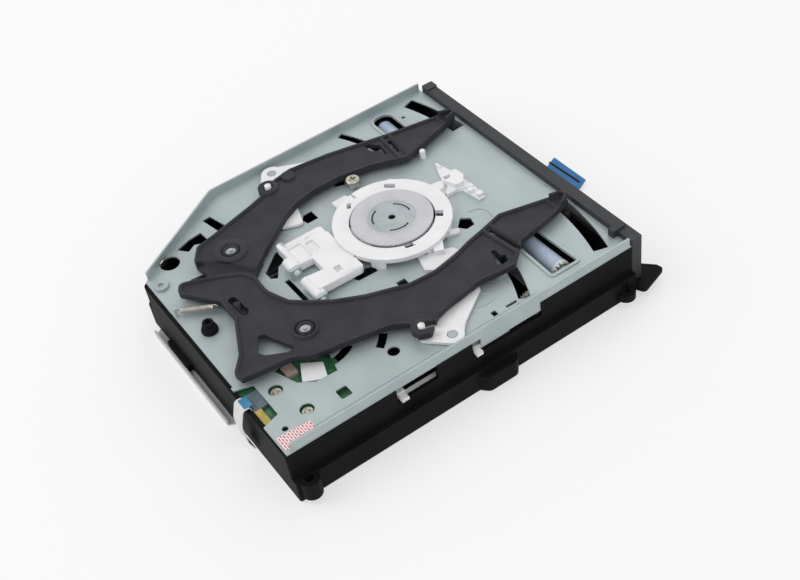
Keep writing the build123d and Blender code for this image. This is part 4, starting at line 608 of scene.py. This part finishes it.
# Elbows: broad flat legs, given from each elbow's own pivot
ELBOW_LOW = PLATE_TOP + 0.37
ELBOW_HIGH = PLATE_TOP + 1.6
ELBOWS = {
    "elbow_right": ("right_elbow", (135.4, 83.0), (
        [(-0.6, -3.8), (-26.9, 3.2), (-36.8, 6.4, 1), (-36.6, 9.0, 0.6), (-33.4, 15.2, 0.8), (-23.0, 9.4, 4),
         (0.8, 4.2)],
        [(-3.6, -3.0), (3.8, 3.2, 1.5), (-8.0, 10.2, 2), (-13.6, 7.2, 2)],
        [(-4.2, 0.6), (-12.4, -20.2, 1.6), (-7.4, -22.0, 1.6), (2.2, -4.0)],
    )),
    "elbow_left": ("left_elbow", (6.8, 80.6), (
        [(-1.5, -4.2), (12.2, -18.8, 0.8), (14.6, -20.4, 0.8), (10.0, -1.0, 2), (3.6, 3.0)],
        [(-3.6, -1.6, 1), (-2.4, 4.0, 1.5), (5.0, 10.8, 1.5), (10.6, 8.6, 2), (8.0, 0.0)],
        [(1.0, -3.4), (26.2, 6.4, 2.6), (25.4, 12.6, 2.6), (0.0, 4.0)],
    )),
}
for node, (body, pivot, legs) in ELBOWS.items():
    meshes = []
    for leg in legs:
        corners = [(pivot[0] + across, pivot[1] + back, *corner) for across, back, *corner in leg]
        meshes.append(prism(outline(corners), ELBOW_LOW, ELBOW_HIGH))
    hole = prism(circle(pivot, 2.0, 32), ELBOW_LOW - 1, ELBOW_HIGH + 1)
    stand_in(node, carved(cad_copy(node), meshes, [hole]), body)

# Clamp: the disc lies lower over the plate than its CAD solids do
CLAMP_AXIS = (AXIS_ACROSS, AXIS_BACK)
CLAMP_SQUEEZE = 0.81
KNUCKLES_BACK = 104.9


def lowered(point):
    """Place of a clamp point once its height over the plate is squeezed."""
    over = point.z - PLATE_TOP * MM
    return Vector((point.x, point.y, PLATE_TOP * MM + over * CLAMP_SQUEEZE)) if over > 0 else point


def lowered_arm(point):
    """The same for the arm, whose knuckles stay on their hinge."""
    return point if point.y > (KNUCKLES_BACK - AXIS_BACK) * MM else lowered(point)


for node in ("clamp_disc", "clamp_yoke", "clamp_magnet"):
    stand_in(node, cad_copy(node, lowered), "clamp")
ARM_TOP = PLATE_TOP + 4.14
ARM_LEDGE = [(92, 80), (83.1, 84.0), (86.7, 91.2), (86.7, 104.0), (92, 104.0)]
ARM_POCKET = [(77.6, 93.4, 1), (84.4, 93.4, 1), (84.4, 97.0, 1), (77.6, 97.0, 1)]
arm_cuts = [prism(outline(ARM_LEDGE), ARM_TOP - 1.2, ARM_TOP + 2),
            prism(outline(ARM_POCKET), ARM_TOP - 0.9, ARM_TOP + 2)]
stand_in("clamp_arm", carved(cad_copy("clamp_arm", lowered_arm), (), arm_cuts), "clamp_carrier")

# Guard ring: a thin roof on feet and tabs, with windows
RING_R = 24.5
RING_IN_R = 17.6
RING_TOP = PLATE_TOP + 4.9
RING_LOW = RING_TOP - 1.9
RING_FEET = ((17, 6), (132, 7), (190, 9), (219, 5), (261, 9))
RING_TABS = (
    ([(101.3, 74.0, 1), (101.4, 66.9, 1), (98.2, 66.0), (93.0, 66.0), (91.0, 73.4)], 1.2),
    ([(54.6, 47.6), (52.3, 43.6, 0.8), (50.0, 45.3, 0.8), (52.0, 50.4)], 1.2),
    ([(51.0, 58.2), (50.2, 53.4, 0.6), (43.7, 57.2, 0.6), (45.6, 60.7, 0.6)], 3.6),
    ([(50.0, 66.0), (41.7, 68.2, 1), (39.3, 65.5, 1), (42.1, 51.0, 1), (45.2, 52.9), (47.8, 60.0)], 1.25),
    ([(70.8, 42.1), (70.8, 38.8, 0.6), (66.6, 38.8, 0.6), (61.6, 40.9), (64.0, 43.0)], 1.8),
    ([(93.4, 50.9), (95.4, 48.9, 0.8), (93.6, 47.2, 0.8), (90.4, 50.4)], 3.4),
    ([(88.4, 47.0), (90.2, 44.8, 0.8), (88.6, 43.6, 0.8), (86.2, 46.4)], 3.45),
)
RING_WINDOWS = (
    [(92.2, 52.7), (89.0, 49.3), (86.9, 50.8), (90.0, 54.2)],
    [(64.0, 46.6), (61.8, 44.3), (58.9, 46.4), (60.9, 48.6)],
    [(55.5, 68.4), (54.6, 64.7), (52.3, 64.5), (53.4, 68.5)],
    [(92.1, 71.6), (91.6, 69.7), (88.7, 71.6), (89.4, 73.1)],
    [(97.6, 67.1), (94.8, 66.2), (92.4, 66.2), (93.1, 67.3)],
)
FINGER = (63.9, 80.1)
ring_parts = [prism(sector(CLAMP_AXIS, RING_R - 3.0, RING_R - 0.2, angle - half, angle + half),
                    PLATE_TOP, RING_LOW + 0.3)
              for angle, half in RING_FEET]
ring_parts += [prism(outline(tab), PLATE_TOP, PLATE_TOP + height) for tab, height in RING_TABS]
ring_cuts = [prism(circle(CLAMP_AXIS, RING_IN_R, 96), PLATE_TOP - 1, RING_TOP + 1),
             prism(rectangle(FINGER, (78, 92)), PLATE_TOP - 1, PLATE_TOP + 4.35)]
ring_cuts += [prism(outline(window), PLATE_TOP + 1.6, RING_TOP + 1) for window in RING_WINDOWS]
ring_roof = prism(circle(CLAMP_AXIS, RING_R, 96), RING_LOW, RING_TOP)
stand_in("clamp_ring", carved(ring_roof, ring_parts, ring_cuts), "housing")

# Front latch: a thin foot with a hooked tower, two studs and a pin
LATCH_FOOT = [(61.0, 24.0), (69.0, 23.2), (82.0, 24.0), (90.0, 25.6), (90.0, 28.0), (82.0, 31.0),
              (74.6, 37.0), (70.6, 28.4), (61.0, 27.0)]
LATCH_PARTS = (
    ([(80.9, 31.8, 1), (80.9, 24.6, 1.5), (75.4, 24.1, 1.5), (71.7, 26.9, 1.5), (72.0, 30.4, 1),
      (78.8, 32.9, 1)], 4.0),
    ([(80.8, 38.0, 0.6), (79.8, 32.0, 0.6), (76.1, 33.6, 0.6), (74.7, 38.0, 0.6)], 2.6),
    ([(71.8, 35.9), (71.8, 30.8), (70.7, 27.6), (69.0, 23.7), (71.4, 23.6), (74.1, 29.1), (77.2, 31.4)], 1.6),
    ([(66.4, 25.2, 0.4), (68.8, 25.2, 0.4), (68.8, 27.8, 0.4), (66.4, 27.8, 0.4)], 2.2),
    ([(62.0, 23.8, 0.4), (64.6, 23.8, 0.4), (64.6, 26.6, 0.4), (62.0, 26.6, 0.4)], 2.3),
    ([(88.6, 26.1, 0.5), (91.8, 26.1, 0.5), (91.8, 27.5, 0.5), (88.6, 27.5, 0.5)], 1.4),
)
LATCH_EYE = [(80.0, 31.6), (79.2, 28.4), (77.7, 29.5), (77.6, 31.8)]
latch_parts = [prism(outline(part), PLATE_TOP, PLATE_TOP + height) for part, height in LATCH_PARTS]
latch_eye = prism(outline(LATCH_EYE), PLATE_TOP + 0.9, PLATE_TOP + 6)
latch_foot = prism(outline(LATCH_FOOT), PLATE_TOP, PLATE_TOP + 0.8)
stand_in("front_latch", carved(latch_foot, latch_parts, [latch_eye]), "housing")

# Turned fasteners and pegs
POST_PLACE = (71.2, 148.5)
SKEW_PLACE = (105.0, 60.4)
PEG_PLACE = (100.4, 27.6)


stand_in("bumper_post", turned(POST_PLACE, raised([
    (0, -0.6), (0.9, -0.6), (0.9, 0), (3.3, 0), (3.4, 0.9), (3.0, 2.2), (2.4, 2.5), (2.3, 4.5), (2.0, 4.8),
    (1.25, 4.8), (1.15, 3.4), (0, 3.4)])), "housing")
stand_in("stop_peg", turned(PEG_PLACE, raised([
    (0, -1.4), (0.9, -1.4), (0.9, 0), (1.3, 0), (1.3, 3.7), (1.05, 4.0), (0, 4.0)])), "housing")
skew = turned(SKEW_PLACE, raised([
    (0, -1.4), (0.9, -1.4), (0.9, 0.1), (1.6, 0.1), (1.6, 2.6), (2.9, 2.7), (3.0, 3.9), (2.7, 4.2),
    (0, 4.2)]))
skew_cuts = [prism(line, PLATE_TOP + 3.3, PLATE_TOP + 5) for line in cross(SKEW_PLACE, 1.7)]
stand_in("skew_screw", carved(skew, (), skew_cuts), "housing")
BOARD_SCREWS = ((28.3, 144.5), (13.1, 140.3))
BOARD_SCREW_TOP = 22.9
crosses = [prism(line, BOARD_SCREW_TOP - 0.6, BOARD_SCREW_TOP + 1)
           for place in BOARD_SCREWS for line in cross(place, 1.2)]
stand_in("board_screws", carved(cad_copy("board_screws"), (), crosses), "housing")

# Sensor board: lamp, tan coil, foam and the cable's blue backing
BOARD_TOP = 21.6
LAMP = [(34.6, 130.4, 0.6), (29.6, 123.4, 0.6), (21.4, 126.2, 0.6), (26.0, 134.6, 0.6)]
stand_in("sensor_lamp", prism(outline(LAMP), BOARD_TOP, BOARD_TOP + 1.3), "housing")
COIL = [(31.2, 133.1, 0.5), (37.1, 133.1, 0.5), (37.1, 137.7, 0.5), (31.2, 137.7, 0.5)]
piece("board_coil", prism(outline(COIL), BOARD_TOP, BOARD_TOP + 1.8), tan_ceramic, "housing")
FOAM = [(17.2, 152.6, 0.4), (26.2, 152.6, 0.4), (26.2, 155.4, 0.4), (17.2, 155.4, 0.4)]
piece("board_foam", prism(outline(FOAM), BOARD_TOP, BOARD_TOP + 1.4), gold_foam, "housing")
CABLE_SIDES = (26.6, 33.1)
BACKING = [(27.1, 154.6, 0.3), (32.3, 154.6, 0.3), (32.3, 158.0, 0.3), (27.1, 158.0, 0.3)]
piece("cable_backing", prism(outline(BACKING), PLATE_TOP + 0.66, PLATE_TOP + 0.84), blue_backing,
      "housing")
CABLE_T = 0.3
CABLE_ROUTE = ((153.5, 22.35, 0), (155.6, 22.35, 0.8), (156.1, 24.5, 0.9), (158.9, 24.6, 3.0),
               (161.0, 17.5, 8.0), (160.4, 8.0, 6.0), (158.6, 3.2, 0))


stand_in("rear_cable", band(CABLE_ROUTE, CABLE_SIDES, CABLE_T), "housing")


# Front cable: a dark strip across its stiffener, painted shade where a recess shows dark
LINE_BACK = (-27.4, -26.2)
shade_line_outline = outline([(62.9, LINE_BACK[0] - 0.4), (83.0, LINE_BACK[0] + 0.4), (82.6, LINE_BACK[1] + 0.4),
                     (62.9, LINE_BACK[1] - 0.4)])
LINE_HEIGHT = (1.5, 1.64)
piece("cable_shade_line", prism(shade_line_outline, *LINE_HEIGHT), painted_recess_shade, "housing")

# Cam slider: its top edge sinks out of sight between the tabs
SLIDER_CUTS = ((90.0, 106.6), (110.4, 122.0))
SLIDER_CUT_ACROSS = (-2.5, 6.0)
SLIDER_CUT_HEIGHT = (16.1, 20.5)
slider_cuts = [prism(rectangle(SLIDER_CUT_ACROSS, back), *SLIDER_CUT_HEIGHT) for back in SLIDER_CUTS]
stand_in("cam_slider", carved(cad_copy("cam_slider"), (), slider_cuts), "slider")

# Plate: the crease along its left edge and the beads pressed beside the guard ring
CREASE = [(4.1, 44.0), (4.6, 44.0), (5.0, 142.0), (4.5, 142.0)]
piece("plate_crease", prism(outline(CREASE), PLATE_TOP - 0.2, PLATE_TOP + 0.12), zinc_sheet,
      "housing")
BEADS = (
    ((58.8, 34.6, 0), (57.7, 30.3, 4), (54.5, 28.2, 4), (50.2, 29.0, 0)),
    ((21.2, 65.6, 0), (20.0, 61.0, 4), (15.4, 56.6, 0)),
    ((14.2, 67.6, 0), (11.8, 61.8, 4), (12.4, 56.2, 0)),
)


BEAD_R = 0.3 * MM
for index, bead in enumerate(BEADS):
    places = [spot(across, back, PLATE_TOP) for across, back, _ in bead]
    line = rounded(places, [radius for *_, radius in bead], close=False)
    piece(f"plate_bead_{index + 1}", tube(line, BEAD_R), zinc_sheet, "housing")

# Feed roller: toothed crown on its left end
ROLLER_AXIS = (25.0, 18.5)
CROWN_R = (2.6, 4.1)
CROWN_TEETH = 14
TOOTH_HALF = 7.5
crown_parts = []
for index in range(CROWN_TEETH):
    turn = 360 * index / CROWN_TEETH
    tooth = sector(CLAMP_AXIS, CROWN_R[0] + 0.5, CROWN_R[1], turn - TOOTH_HALF, turn + TOOTH_HALF)
    crown_parts.append(prism(tooth, 11.2, 12.5))
crown_bore = prism(circle(CLAMP_AXIS, CROWN_R[0], 32), 10, 14)
crown = carved(prism(circle(CLAMP_AXIS, CROWN_R[1], 48), 12.3, 13.3), crown_parts, [crown_bore])
crown.transform(Matrix.Translation(spot(0, *ROLLER_AXIS)) @ Matrix.Rotation(math.radians(90), 4, "Y"))
piece("roller_crown", crown, gear_acetal, "roller")

UP = Vector((0, 0, 1))
SPRING_START = spot(78.0, 142.2, PLATE_TOP + 3.6)
SPRING_END = spot(86.4, 152.8, PLATE_TOP + 2.2)
SPRING_R = 0.95 * MM
SPRING_WIRE = 0.21 * MM
SPRING_TURNS = 30
HOOK_REACH = 1.6 * MM
along = (SPRING_END - SPRING_START).normalized()
coil_line = [SPRING_START - along * HOOK_REACH, SPRING_START - along * HOOK_REACH * 0.4 + UP * SPRING_R]
coil_line += coil_turns(SPRING_START, SPRING_END, SPRING_R, SPRING_TURNS, UP)
coil_line += [SPRING_END + along * HOOK_REACH * 0.4 + UP * SPRING_R, SPRING_END + along * HOOK_REACH]
coil_piece = piece("lever_spring_coil", tube(coil_line, SPRING_WIRE), spring_wire, None)
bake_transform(coil_piece)
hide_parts("lever_spring")
SKEW_SPRING_R = 2.25 * MM
SKEW_WIRE = 0.22 * MM
SKEW_TURNS = 4
skew_line = coil_turns(spot(*SKEW_PLACE, PLATE_TOP + 0.25), spot(*SKEW_PLACE, PLATE_TOP + 2.5),
                       SKEW_SPRING_R, SKEW_TURNS, Vector((1, 0, 0)))
piece("skew_spring_coil", tube(skew_line, SKEW_WIRE), spring_wire, "housing")
